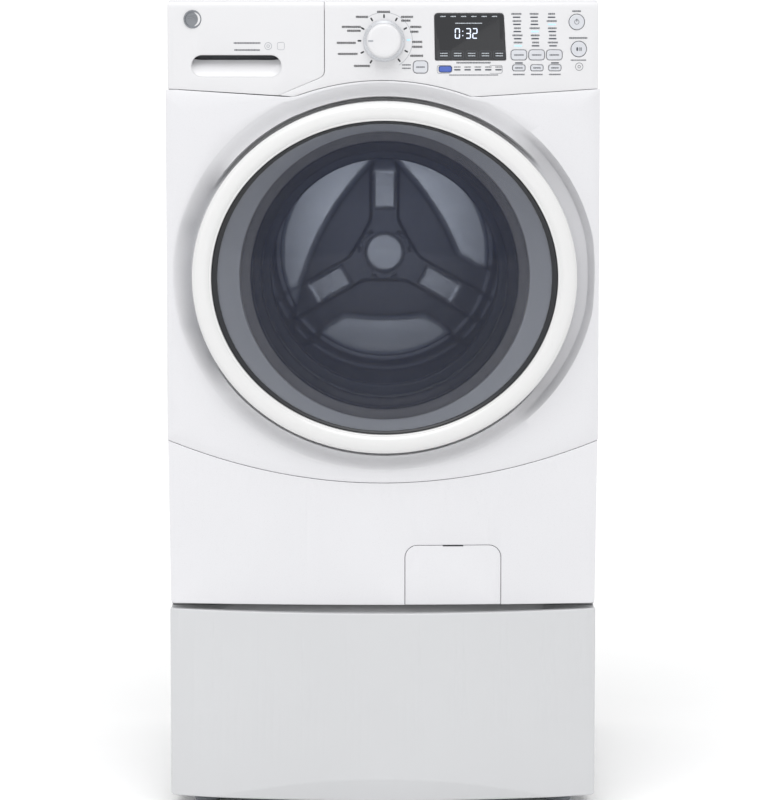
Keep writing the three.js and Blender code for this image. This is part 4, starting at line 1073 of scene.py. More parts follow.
        low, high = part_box("display_window")
        mesh = plate(self.window_loop(), glass, edge=0.0008, flange=0.003, step=0.01)
        piece("display_glass_pane", mesh, Finishes.PANE, "display_window", sheet=0.001)
        top, left = high.z, low.x
        clock = [(0, 0.0375, 0.0068), (3, 0.0553, 0.0068), (2, 0.066, 0.0068)]
        lit = [bar for value, dx, width in clock
               for bar in digit(value, left + dx, top - self.digit_drop, width, 0.0155)]
        lit += [Mark(left + 0.0462, top - self.digit_drop + dz, 0.0018, 0.0018, Glyph.BAR)
                for dz in (0.0035, -0.0035)]
        piece("display_read_out", printed(lit, glass), Finishes.DIGIT, body="cabinet")
        pale = [Mark(left + 0.014 + 0.0168 * i, top - 0.005, 0.0085, 0.0016) for i in range(6)]
        pale += [Mark(left + 0.056, top - 0.016, 0.044, 0.0014)]
        keys = [Mark(left + 0.0155 + 0.0226 * i, low.z + 0.0092, 0.0196, 0.0128, Glyph.FRAME)
                for i in range(5)]
        pale += [Mark(key.x, key.z + dz, 0.012, 0.0014) for key in keys for dz in (0.002, -0.002)]
        piece("display_captions", printed(pale, glass), Finishes.PALE_INK, body="cabinet")
        piece("display_key_lines", printed(keys, glass), Finishes.INK, body="cabinet")

    def build_knob(self) -> None:
        """Builds the cycle knob: a satin skirt and a domed white face."""
        low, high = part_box("cycle_knob")
        centre = ((low.x + high.x) / 2, 0.0, (low.z + high.z) / 2)
        skirt = (high.x - low.x) / 2
        face, front, seat = skirt - 0.006, low.y, self.bow.at(centre[0])
        ring = [*arc((skirt - 0.0025, seat - 0.0022), 0.0022, 90, -60, 6), (face + 0.0012, seat - 0.0072),
                (face - 0.002, seat - 0.0072), (face - 0.002, seat - 0.0004)]
        piece("cycle_knob_skirt", lathe(ring, centre, 96), Finishes.CHROME, body="cycle_knob")
        dome = [(0.0, front + 0.0008), (face * 0.3, front + 0.0006), (face * 0.6, front + 0.0001),
                *arc((face - 0.0055, front + 0.0055), 0.0055, -80, 0, 8), (face + 0.0006, seat - 0.0075),
                (face - 0.001, seat - 0.0066), (0.006, seat - 0.0066), (0.005, seat + 0.012),
                (0.0, seat + 0.012)]
        piece("cycle_knob_face", lathe(dome, centre, 96), Finishes.MOULDED, "cycle_knob")
        pointer = prism(box_loop(-0.0011, 0.0011, face * 0.62, face * 0.92, 0.001, 3), front - 0.0003,
                        front + 0.002)
        for vert in pointer.verts:
            vert.co.x += centre[0]
            vert.co.z += centre[2]
        piece("cycle_knob_pointer", spun(pointer, centre, 90), Finishes.GREY, body="cycle_knob")
        self.build_dial(centre, skirt)

    def build_dial(self, centre: Place, skirt: float) -> None:
        """Builds the tick marks, arc and captions round the knob."""
        above = (centre[0], centre[2] + skirt + self.tick_gap)
        ticks = []
        for turn in (0, 30, 60, -30, -60, 90, -115, 118, 148, -142):
            tick = printed([Mark(*above, *self.tick, Glyph.BAR)], lambda x, z: 0.0)
            ticks.append(spun(tick, centre, turn))
        piece("cycle_dial_ticks", follow(merge(ticks), self.surface), Finishes.DARK_INK, body="cabinet")
        lit = printed([Mark(*above, *self.lit_tick, Glyph.BAR)], lambda x, z: 0.0)
        piece("cycle_dial_lit_tick", follow(spun(lit, centre, -88), self.surface), Finishes.LIT,
              body="cabinet")
        radius = skirt + 0.0125
        outer = [p for p in arc((centre[0], centre[2]), radius, 128, -58, 64)]
        inner = [p for p in arc((centre[0], centre[2]), radius - 0.0006, 128, -58, 64)]
        line = bmesh.new()
        rows = [[line.verts.new((x, dy, z)) for x, z in path] for path in (outer, inner)
                for dy in (-0.0002, 0.0002)]
        for i in range(len(outer) - 1):
            for a, b in ((0, 2), (2, 3), (3, 1), (1, 0)):
                line.faces.new((rows[a][i], rows[b][i], rows[b][i + 1], rows[a][i + 1]))
        for end in (0, -1):
            line.faces.new([rows[k][end] for k in (0, 1, 3, 2)])
        piece("cycle_dial_arc", follow(line, self.surface), Finishes.GREY, body="cabinet")
        words = [(-0.0338, 0.0388, 0.0197), (-0.051, 0.0226, 0.031), (-0.047, 0.0163, 0.022),
                 (-0.0592, -0.0033, 0.031), (-0.0567, -0.0212, 0.0326), (-0.0339, -0.0407, 0.026),
                 (0.0014, 0.0469, 0.0213), (0.0398, 0.0388, 0.0197), (0.0375, 0.0328, 0.015),
                 (0.0537, 0.0226, 0.018), (0.0513, 0.0148, 0.0133), (0.0561, -0.0017, 0.0163),
                 (0.0561, -0.0097, 0.0163), (0.0553, -0.0242, 0.0213)]
        marks = [Mark(dx, centre[2] + dz, width, 0.0036) for dx, dz, width in words]
        piece("cycle_dial_captions", printed(marks, self.surface), Finishes.DARK_INK, body="cabinet")

    def build_lamps(self) -> None:
        """Builds the indicator bars and the captions over them."""
        top = self.high.z
        lamps, captions, lit = [], [], []
        for column in range(3):
            for row in range(5):
                x = 0.2179 + 0.0286 * column + 0.0026 * row / 4
                bar = Mark(x, top - 0.0258 - 0.0116 * row, 0.0125, 0.0021, Glyph.BAR)
                (lit if (column, row) in ((0, 4), (1, 2), (2, 1)) else lamps).append(bar)
                captions.append(Mark(x, bar.z + 0.0054, 0.017 - 0.003 * ((row + column) % 3), 0.0029))
        lamps += [Mark(x, top - 0.1, 0.013, 0.0021, Glyph.BAR) for x in (0.222, 0.281)]
        stain = [0.1215 + 0.0168 * i for i in range(5)]
        lamps += [Mark(x, top - 0.111, 0.0105, 0.0022, Glyph.BAR) for x in stain]
        captions += [Mark(x, top - 0.1065, 0.0105, 0.0018) for x in stain]
        captions += [Mark(0.148, top - 0.0995, 0.056, 0.0026), Mark(0.148, top - 0.1195, 0.08, 0.0018)]
        captions += [Mark(x, top - 0.1187, 0.019, 0.0023) for x in (0.222, 0.2515, 0.281)]
        captions += [Mark(0.316, top - 0.016, 0.014, 0.0028), Mark(0.319, top - 0.0595, 0.03, 0.0028),
                     Mark(0.32, top - 0.0955, 0.026, 0.002), Mark(0.0385, top - 0.103, 0.014, 0.0022),
                     Mark(0.0385, top - 0.1085, 0.014, 0.0022)]
        outlines = [Mark(0.1418, top - 0.1103, 0.1068, 0.0133, Glyph.FRAME),
                    Mark(0.3208, top - 0.1061, 0.013, 0.013, Glyph.RING),
                    Mark(0.3208, top - 0.1061, 0.005, 0.005, Glyph.RING)]
        piece("indicator_lamps", printed(lamps, self.surface), Finishes.DEAD_LAMP, body="cabinet")
        piece("indicator_lamps_lit", printed(lit, self.surface), Finishes.LIT, body="cabinet")
        piece("control_captions", printed(captions, self.surface), Finishes.INK, body="cabinet")
        piece("control_outlines", printed(outlines, self.surface), Finishes.INK, body="cabinet")

    def build(self) -> None:
        """Builds the whole fascia."""
        keys = sorted(node for node in frame["nodes"] if "_button" in node)
        self.build_moulding(keys)
        for key in keys:
            self.build_key(key)
        self.build_display()
        self.build_knob()
        self.build_lamps()
        LOG.info("control fascia: %d keys, display, knob", len(keys))


# ---------------------------------------------------------------- dispenser drawer
@dataclass
class DispenserDrawer:
    """The drawer front beside the fascia, its grip pocket, badge, tray and housing."""

    fascia: ControlFascia
    grip_x: tuple[float, float] = (-0.313, -0.165)
    grip_drop: tuple[float, float] = (0.087, 0.123)
    grip_depth: float = 0.026
    slot_height: float = 0.0085
    badge: tuple[float, float, float] = (-0.31, 0.029, 0.015)
    low: Vector = field(init=False)
    high: Vector = field(init=False)

    def __post_init__(self) -> None:
        """Reads the drawer front's box."""
        self.low, self.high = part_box("dispenser_front")

    def outline(self) -> list[Point]:
        """Gives the front's outline."""
        top, base = self.high.z, self.fascia.low
        foot, corner = (base.x - 0.0008, base.z + 0.0022), (self.high.x, base.z + self.fascia.corner_rise)
        return [*arc((self.low.x + 0.006, top - 0.006), 0.006, 90, 180), (self.low.x, base.z + 0.013), foot,
                *bend(foot, corner, (self.high.x, top), self.fascia.corner_radius), (self.high.x, top)]

    def grip_loop(self, floor_rise: float, inset: float = 0.0) -> list[Point]:
        """Gives the pocket's outline with its floor raised."""
        top, low = self.high.z - self.grip_drop[0], self.high.z - self.grip_drop[1]
        x0, x1 = self.grip_x
        radius = (top - low) / 2
        squeeze = 1 - floor_rise / (top - low)
        loop = box_loop(x0 + inset, x1 - inset, low + inset, top - inset, radius - inset - 0.0002, 12)
        return [(x, top - (top - z) * squeeze) for x, z in loop]

    def build_pocket(self) -> None:
        """Builds the pocket: a floor that slopes up to a dark slot."""
        surface = self.fascia.surface
        height = self.grip_drop[1] - self.grip_drop[0]
        for name, start, end, finish in (
            ("dispenser_grip_pocket", 0.0, 0.8, Finishes.MOULDED),
            ("dispenser_grip_slot", 0.8, 1.0, Finishes.SLOT),
        ):
            mesh = bmesh.new()
            rings = []
            for k in range(9):
                share = between(start, end, k / 8)
                rise = (height - self.slot_height) * min(1.0, share / 0.8) ** 0.8
                loop = self.grip_loop(rise, 0.0004)
                depth = 0.0012 + self.grip_depth * share
                rings.append([mesh.verts.new((x, surface(x, z) + depth, z)) for x, z in loop])
            for first, second in zip(rings, rings[1:]):
                for i in range(len(first)):
                    j = (i + 1) % len(first)
                    mesh.faces.new((first[i], first[j], second[j], second[i]))
            if end == 1.0:
                mesh.faces.new(rings[-1])
            piece(name, mesh, finish, body="dispenser", sheet=0.0008, crease=60)

    def build_badge(self) -> None:
        """Builds a plain round badge."""
        x, drop, radius = self.badge
        centre = (x, self.fascia.bow.at(x) + 0.0006, self.high.z - drop)
        profile = [(0.0, -0.0018), (radius * 0.55, -0.0016), (radius * 0.72, -0.0009),
                   (radius * 0.78, -0.0009),
                   (radius * 0.84, -0.0022), (radius * 0.93, -0.0024), (radius, -0.0012), (radius, 0.0006),
                   (0.0, 0.0006)]
        piece("dispenser_badge", lathe(profile, centre, 64), Finishes.BADGE, body="dispenser")

    def build_tray(self) -> None:
        """Builds the detergent cups' tray with rounded cups and a siphon cap."""
        low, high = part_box("dispenser_tray")
        wall, cups = 0.0025, 3
        pitch = (high.x - low.x - wall) / cups
        mesh = bmesh.new()
        outer = box_loop(low.x, high.x, low.y, high.y, 0.004, 4)
        rim = [mesh.verts.new((x, y, high.z)) for x, y in outer]
        foot = [mesh.verts.new((x, y, low.z)) for x, y in outer]
        for i in range(len(rim)):
            j = (i + 1) % len(rim)
            mesh.faces.new((rim[i], foot[i], foot[j], rim[j]))
        mesh.faces.new(list(reversed(foot)))
        loops, corners = [[Vector((v.co.x, v.co.y, 0)) for v in rim]], list(rim)
        for i in range(cups):
            x0 = low.x + wall + i * pitch
            loop = list(reversed(box_loop(x0, x0 + pitch - wall, low.y + 0.012, high.y - wall, 0.008, 5)))
            top = [mesh.verts.new((x, y, high.z)) for x, y in loop]
            base = [mesh.verts.new((x, y, low.z + 0.004)) for x, y in offset_loop(loop, -0.0035)]
            for k in range(len(top)):
                n = (k + 1) % len(top)
                mesh.faces.new((top[k], base[k], base[n], top[n]))
            mesh.faces.new(list(reversed(base)))
            loops.append([Vector((v.co.x, v.co.y, 0)) for v in top])
            corners += top
        for a, b, c in geometry.tessellate_polygon(loops):
            mesh.faces.new((corners[a], corners[b], corners[c]))
        piece("dispenser_cup_tray", mesh, Finishes.PALE, "dispenser_tray")
        x = low.x + wall + pitch * 2.5
        cap = block((x - 0.018, high.y - 0.075, high.z - 0.022), (x + 0.018, high.y - 0.03, high.z - 0.004),
                    0.004)
        piece("dispenser_siphon_cap", cap, Finishes.BLUE_KEY, body="dispenser")

    def build(self) -> None:
        """Builds the whole drawer."""
        fascia = self.fascia
        rows = [self.high.z - fascia.top_roll * share for share in (1.0, 0.8, 0.6, 0.4, 0.25, 0.12, 0.04)]
        mesh = plate(self.outline(), fascia.surface, [self.grip_loop(0.0)], edge=0.0012, flange=0.02,
                     hole_flange=0.003, rows=rows)
        piece("dispenser_drawer_face", mesh, Finishes.MOULDED, "dispenser_front", sheet=0.002)
        self.build_pocket()
        self.build_badge()
        self.build_tray()
        top = self.high.z
        marks = [Mark(-0.221, top - 0.0676, 0.044, 0.0026), Mark(-0.221, top - 0.079, 0.042, 0.0026)]
        outlines = [Mark(-0.1868, top - 0.0725, 0.012, 0.012, Glyph.RING),
                    Mark(-0.1868, top - 0.0725, 0.005, 0.005, Glyph.RING),
                    Mark(-0.166, top - 0.0725, 0.012, 0.0125, Glyph.FRAME)]
        piece("dispenser_captions", printed(marks, fascia.surface), Finishes.INK, body="dispenser")
        piece("dispenser_symbols", printed(outlines, fascia.surface), Finishes.GREY, body="dispenser")
        dress("dispenser_housing", Finishes.GREY)
        LOG.info("dispenser drawer: face, pocket, badge, tray")


# ---------------------------------------------------------------- front panels
@dataclass
class FrontPanels:
    """The panel round the door, the lower panel and the filter door."""

    fascia: ControlFascia
    bow: Bow
    axis: Place
    seam: float = 0.0008
    rim: Point = (0.3385, 0.312)
    rim_rise: float = 0.003
    foot: Point = (0.3185, 0.292)
    mouth: float = 0.222
    rim_roll: float = 0.01
    scoop_half_angle: float = 44.0
    hinge_half_angle: float = 34.0
    shelf: float = 0.86
    shelf_depth: float = 0.3
    lower_drop: float = 0.069

    def seam_height(self, x: float, grow: float) -> float:
        """Gives the height of the wide seam between the two panels."""
        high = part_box("lower_panel")[1]
        return high.z + 0.0006 + grow - self.lower_drop * (1 - (x / self.bow.half) ** 2)

    def panel_outline(self) -> list[Point]:
        """Gives the outline of the panel round the door."""
        half = self.bow.half
        lower = [(half * (i / 20 - 1), self.seam_height(half * (i / 20 - 1), self.seam)) for i in range(41)]
        upper = [(half * (1 - i / 30), self.fascia.arch(half * (1 - i / 30)) - self.seam)
                 for i in range(61)]
        return lower + upper

    @staticmethod
    def cross(centre: Point, way: Point, loop: Sequence[Point]) -> Point:
        """Finds where a ray from the centre leaves a loop.

        Args:
            centre: Where the ray starts.
            way: Its direction.
            loop: The closed loop.

        Returns:
            The crossing.
        """
        for i, (x1, z1) in enumerate(loop):
            x0, z0 = loop[i - 1]
            ex, ez = x1 - x0, z1 - z0
            turn = way[0] * ez - way[1] * ex
            if abs(turn) < 1e-12:
                continue
            reach = ((x0 - centre[0]) * ez - (z0 - centre[1]) * ex) / turn
            share = ((x0 - centre[0]) * way[1] - (z0 - centre[1]) * way[0]) / turn
            if reach > 0 and -1e-9 <= share <= 1 + 1e-9:
                return centre[0] + way[0] * reach, centre[1] + way[1] * reach
        raise ValueError("the ray misses the loop")

    def build_door_panel(self) -> None:
        """Builds the panel round the door: spokes from its outline, over the rim and down to the mouth."""
        centre = (self.axis[0], self.axis[2] + self.rim_rise)
        outline = self.panel_outline()
        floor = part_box("front_panel")[1].y - 0.0067
        turns = [2 * math.pi * i / 288 for i in range(288)]
        for x, z in (outline[0], outline[40], outline[41], outline[-1]):
            turns.append(math.atan2((z - centre[1]) / self.rim[1],
                                    (x - centre[0]) / self.rim[0]) % (2 * math.pi))
        turns = sorted(turns)
        kept = [t for t, after in zip(turns, turns[1:] + [turns[0] + 7.0]) if after - t > 0.004]
        mesh = bmesh.new()
        rings: list[list[bmesh.types.BMVert]] = []
        for turn in kept:
            way = (self.rim[0] * math.cos(turn), self.rim[1] * math.sin(turn))
            rim = (centre[0] + way[0], centre[1] + way[1])
            edge = self.cross(centre, way, outline)
            foot = (self.axis[0] + self.foot[0] * math.cos(turn),
                    self.axis[2] + self.foot[1] * math.sin(turn))
            mouth = (self.axis[0] + self.mouth * math.cos(turn), self.axis[2] + self.mouth * math.sin(turn))
            angle = math.degrees(turn)
            off = min(angle, 360 - angle)
            scoop = 1 - smoothstep(self.scoop_half_angle - 8, self.scoop_half_angle + 8, off)
            spoke: list[tuple[float, float, float]] = []
            back = 0.0012
            run = math.hypot(rim[0] - edge[0], rim[1] - edge[1])
            spoke.append((edge[0], self.bow.at(edge[0]) + 0.012, edge[1]))
            spoke.append((edge[0], self.bow.at(edge[0]) + back, edge[1]))
            roll = min(self.rim_roll, run * 0.5)
            flat = 1 - roll / run
            for inset in (back / run * 0.3, back / run, flat * 0.4, flat * 0.6, flat * 0.8, flat):
                x, z = between(edge[0], rim[0], inset), between(edge[1], rim[1], inset)
                lift = 0.0004 if inset < 0.5 * back / run else 0.0
                spoke.append((x, self.bow.at(x) + lift, z))
            top = self.bow.at(rim[0])
            drop = floor - top
            start = (between(rim[0], edge[0], roll / run), between(rim[1], edge[1], roll / run))
            hinge = 1 - smoothstep(self.hinge_half_angle - 6, self.hinge_half_angle + 6, abs(180 - angle))
            for t in (*(k / 16 for k in range(1, 14)), 0.85, 0.88, 0.92, 0.96, 1.0):
                x, z = between(start[0], foot[0], t), between(start[1], foot[1], t)
                spoke.append((x, self.bow.at(start[0]) + drop * self.sink(t, scoop, hinge), z))
            for share in (0.25, 0.6, 0.9, 1.0):
                spoke.append((between(foot[0], mouth[0], share), floor, between(foot[1], mouth[1], share)))
            spoke.append((mouth[0], floor + 0.006, mouth[1]))
            rings.append([mesh.verts.new(place) for place in spoke])
        for first, second in zip(rings, rings[1:] + rings[:1]):
            for k in range(len(first) - 1):
                mesh.faces.new((first[k], second[k], second[k + 1], first[k + 1]))
        bmesh.ops.recalc_face_normals(mesh, faces=mesh.faces)
        self.face_front(mesh)
        piece("door_panel_pressing", mesh, Finishes.ENAMEL, "front_panel", sheet=0.0012, crease=45)

    def sink(self, share: float, scoop: float, hinge: float) -> float:
        """Gives how far down the recess's side is: shallow, but deep by the scoop and by the hinge.

        Args:
            share: Share of the side's width, from the rim.
            scoop: How much of the scoop is here.
            hinge: How much room the hinge needs here.

        Returns:
            The share of the recess's depth.
        """
        step = self.shelf
        shallow = self.shelf_depth * smoothstep(-0.15, step, share)
        if share > step:
            shallow = between(self.shelf_depth, 1.0, (share - step) / (1 - step))
        deep = between(shallow, self.slope(share), hinge)
        return max(deep, between(shallow, self.slope(min(1.0, share * 2.6)), scoop))

    @staticmethod
    def slope(share: float) -> float:
        """Gives how far down the recess's side is at a share of its width: rolled at the top and the foot."""
        return share * share * (3 - 2 * share) * 0.55 + share * 0.45

    @staticmethod
    def face_front(mesh: bmesh.types.BMesh) -> None:
        """Turns a whole sheet over if it faces the rear."""
        mesh.normal_update()
        if sum(face.normal.y * face.calc_area() for face in mesh.faces) > 0:
            bmesh.ops.reverse_faces(mesh, faces=mesh.faces)

    def build_lower(self) -> None:
        """Builds the lower panel and the filter door in its notch."""
        low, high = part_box("lower_panel")
        door_low, door_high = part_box("filter_door")
        gap = self.seam
        foot, reach = self.bow.half - 0.004, high.x
        upper = [(reach * (1 - i / 20), self.seam_height(reach * (1 - i / 20), 0.0)) for i in range(41)]
        notch = rounded_loop([
            (door_low.x - gap, low.z, 0), (door_low.x - gap, door_high.z + gap, 0.0208),
            (door_high.x + gap, door_high.z + gap, 0.0208), (door_high.x + gap, low.z, 0)], 8)
        left = arc((-foot + 0.006, low.z + 0.006), 0.006, 180, 270)
        right = arc((foot - 0.006, low.z + 0.006), 0.006, 270, 360)
        mesh = plate([*left, *notch, *right, *upper], self.bow.at, edge=0.0012, flange=0.012)
        piece("lower_panel_pressing", mesh, Finishes.ENAMEL, "lower_panel", sheet=0.0012)
        outline = rounded_loop([
            (door_low.x, door_low.z, 0.001), (door_high.x, door_low.z, 0.001),
            (door_high.x, door_high.z, 0.02), (door_low.x, door_high.z, 0.02)], 8)
        mesh = plate(outline, self.bow.at, edge=0.0012, flange=0.004)
        piece("filter_door_skin", mesh, Finishes.ENAMEL, "filter_door", sheet=0.0025)
        middle = (door_low.x + door_high.x) / 2
        latch = [Mark(middle, door_high.z - 0.0003, 0.034, 0.0016, Glyph.BAR)]
        piece("filter_door_latch_lip", printed(latch, self.bow.at, 0.0004), Finishes.BLACK,
              body="filter_door")
        barrel = alongside(door_low.x + 0.03, door_high.x - 0.03,
                           Vector((0, self.bow.at(middle) + 0.006, door_low.z + 0.0042)),
                           0.0034)
        piece("filter_door_hinge_bar", barrel, Finishes.MOULDED, body="filter_door")

    def build(self) -> None:
        """Builds the front panels."""
        self.build_door_panel()
        self.build_lower()
        LOG.info("front panels: door panel, lower panel, filter door")


def alongside(x0: float, x1: float, centre: Vector, radius: float, steps: int = 24) -> bmesh.types.BMesh:
    """Makes a round bar along X with rolled ends."""
    roll = radius * 0.25
    profile = [(0.0, 0.0), (radius - roll, 0.0), (radius, roll), (radius, x1 - x0 - roll),
               (radius - roll, x1 - x0), (0.0, x1 - x0)]
    mesh = lathe(profile, (0, 0, 0), steps)
    for vert in mesh.verts:
        vert.co = Vector((x0 + vert.co.y, centre.y + vert.co.x, centre.z + vert.co.z))
    return mesh


# ---------------------------------------------------------------- door
@dataclass
class Door:
    """The oval door: white ring, tinted glass, inner frame and the glass bowl, with its gasket."""

    axis: Place
    radius: float = 0.2885
    widening: float = 0.0265
    bowl: float = 0.2374
    glass: float = 0.2563
    ear_height: float = 0.075
    front: float = field(init=False)
    back: float = field(init=False)

    def __post_init__(self) -> None:
        """Reads how deep the door is."""
        self.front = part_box("door_ring")[0].y
        self.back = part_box("door_inner_frame")[1].y

    def widen(self, radius: float) -> float:
        """Gives how much the half width exceeds the half height at a radius."""
        return self.widening * min(1.0, max(0.0, (radius - self.bowl) / (0.2545 - self.bowl)))

    def notches(self) -> bmesh.types.BMesh:
        """Gives the two blocks that the hinge's ears need."""
        x, _, z = self.axis
        ears = [z - self.ear_height, z + self.ear_height]
        blocks = [block((x - 0.333, self.front + 0.013, ear - 0.008),
                        (x - 0.2835, self.back + 0.01, ear + 0.008), 0.001)
                  for ear in ears]
        return merge(blocks)

    def build_ring(self) -> None:
        """Builds the white ring with its rolled outer edge and inner lip."""
        r, y, inner = self.radius, self.front, self.glass + 0.0005
        profile = [
            (r - 0.0028, self.back - 0.004), (r, self.back - 0.004), (r, y + 0.019),
            *arc((r - 0.012, y + 0.014), 0.012, 0, -78, 7), (r - 0.016, y + 0.0002),
            (r - 0.022, y + 0.001),
            (r - 0.0265, y + 0.0028), *arc((inner + 0.0022, y + 0.0062), 0.0022, -60, -180, 4),
            (inner, y + 0.028), (inner + 0.003, y + 0.028), (inner + 0.003, y + 0.011),
            (r - 0.016, y + 0.0045),
            (r - 0.007, y + 0.009), (r - 0.0028, y + 0.02)]
        ring = piece("door_ring_cover", lathe(profile, self.axis, 192, self.widen), Finishes.RING,
                     "door_ring")
        carve(ring, self.notches())
        rim = [(self.glass - 0.0046, y + 0.0125),
               *arc((self.glass - 0.0012, y + 0.0118), 0.0012, 200, 350, 4),
               (self.glass, y + 0.0205), (self.glass - 0.0046, y + 0.0205)]
        piece("door_glass_rim", lathe(rim, self.axis, 192, self.widen), Finishes.BLACK, body="door")

    def build_glass(self) -> None:
        """Builds the bulged outer glass and the bowl behind it."""
        edge, y, bulge = self.glass - 0.0005, self.front + 0.015, 0.022
        shares = [i / 16 for i in range(17)]
        outer = [(edge * s, y - bulge * (1 - s ** 2.4)) for s in shares]
        outer = [(r if r else 0.0, at) for r, at in outer]
        inner = [(r, at + 0.004) for r, at in reversed(outer)]
        pane = lathe([*outer, *inner], self.axis, 160, self.widen, closed=False)
        piece("door_tinted_glass", pane, Finishes.SMOKED, "door_lens", crease=60)
        low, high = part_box("door_bowl")
        rim, bottom = low.y + 0.0025, high.y - 0.0025
        path = smooth_path([(self.bowl, rim), (0.218, rim + 0.0005), (0.206, rim + 0.006),
                            (0.19, rim + 0.026),
                            (0.168, rim + 0.07), (0.148, rim + 0.101), (0.12, bottom - 0.0045),
                            (0.08, bottom - 0.0008), (0.0, bottom)], 5)
        bowl = lathe(walled(path, -0.0045), self.axis, 160, closed=False)
        piece("door_glass_bowl", bowl, Finishes.CLEAR, "door_bowl", crease=60)

    def build_frame(self) -> None:
        """Builds the pale frame that holds the bowl, seen through the glass, and the door's hardware."""
        y, back, edge = self.front, self.back, self.glass - 0.001
        far = self.radius - 0.0036
        profile = [(self.bowl + 0.0008, back), (self.bowl + 0.0008, back - 0.013),
                   (self.bowl + 0.003, back - 0.016),
                   (edge - 0.005, y + 0.023), (edge - 0.003, y + 0.0212), (edge, y + 0.0212),
                   (edge, back - 0.0062),
                   (far, back - 0.0062), (far, back - 0.0015), (far - 0.0015, back)]
        moulding = lathe(profile, self.axis, 160, self.widen)
        carve(piece("door_frame_moulding", moulding, Finishes.PALE, "door_inner_frame"), self.notches())
        for node in ("door_strike", "door_hinge_arm", "door_hinge_leaf"):
            dress(node, Finishes.ZINC)
        dress("door_lock", Finishes.BLACK)

    def build_gasket(self) -> None:
        """Builds the folded rubber between the panel's mouth and the tub."""
        low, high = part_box("door_gasket")
        outer = (high.z - low.z) / 2
        y0, y1 = low.y, high.y
        path = smooth_path([(outer - 0.0035, y0 + 0.0006), (outer - 0.003, y0 + 0.007),
                            (outer - 0.008, y0 + 0.011),
                            (0.206, y0 + 0.015), (0.204, y0 + 0.02), (0.2085, y0 + 0.024),
                            (0.206, y0 + 0.0285),
                            (0.21, y0 + 0.033), (0.2115, y0 + 0.037), (0.2115, y1 - 0.002)], 5)
        ring = lathe(walled(path, -0.003), self.axis, 144)
        piece("door_gasket_bellows", ring, Finishes.RUBBER, "door_gasket", crease=60)

    def build(self) -> None:
        """Builds the whole door."""
        self.build_ring()
        self.build_glass()
        self.build_frame()
        self.build_gasket()
        LOG.info("door: ring, glass, bowl, frame, gasket")


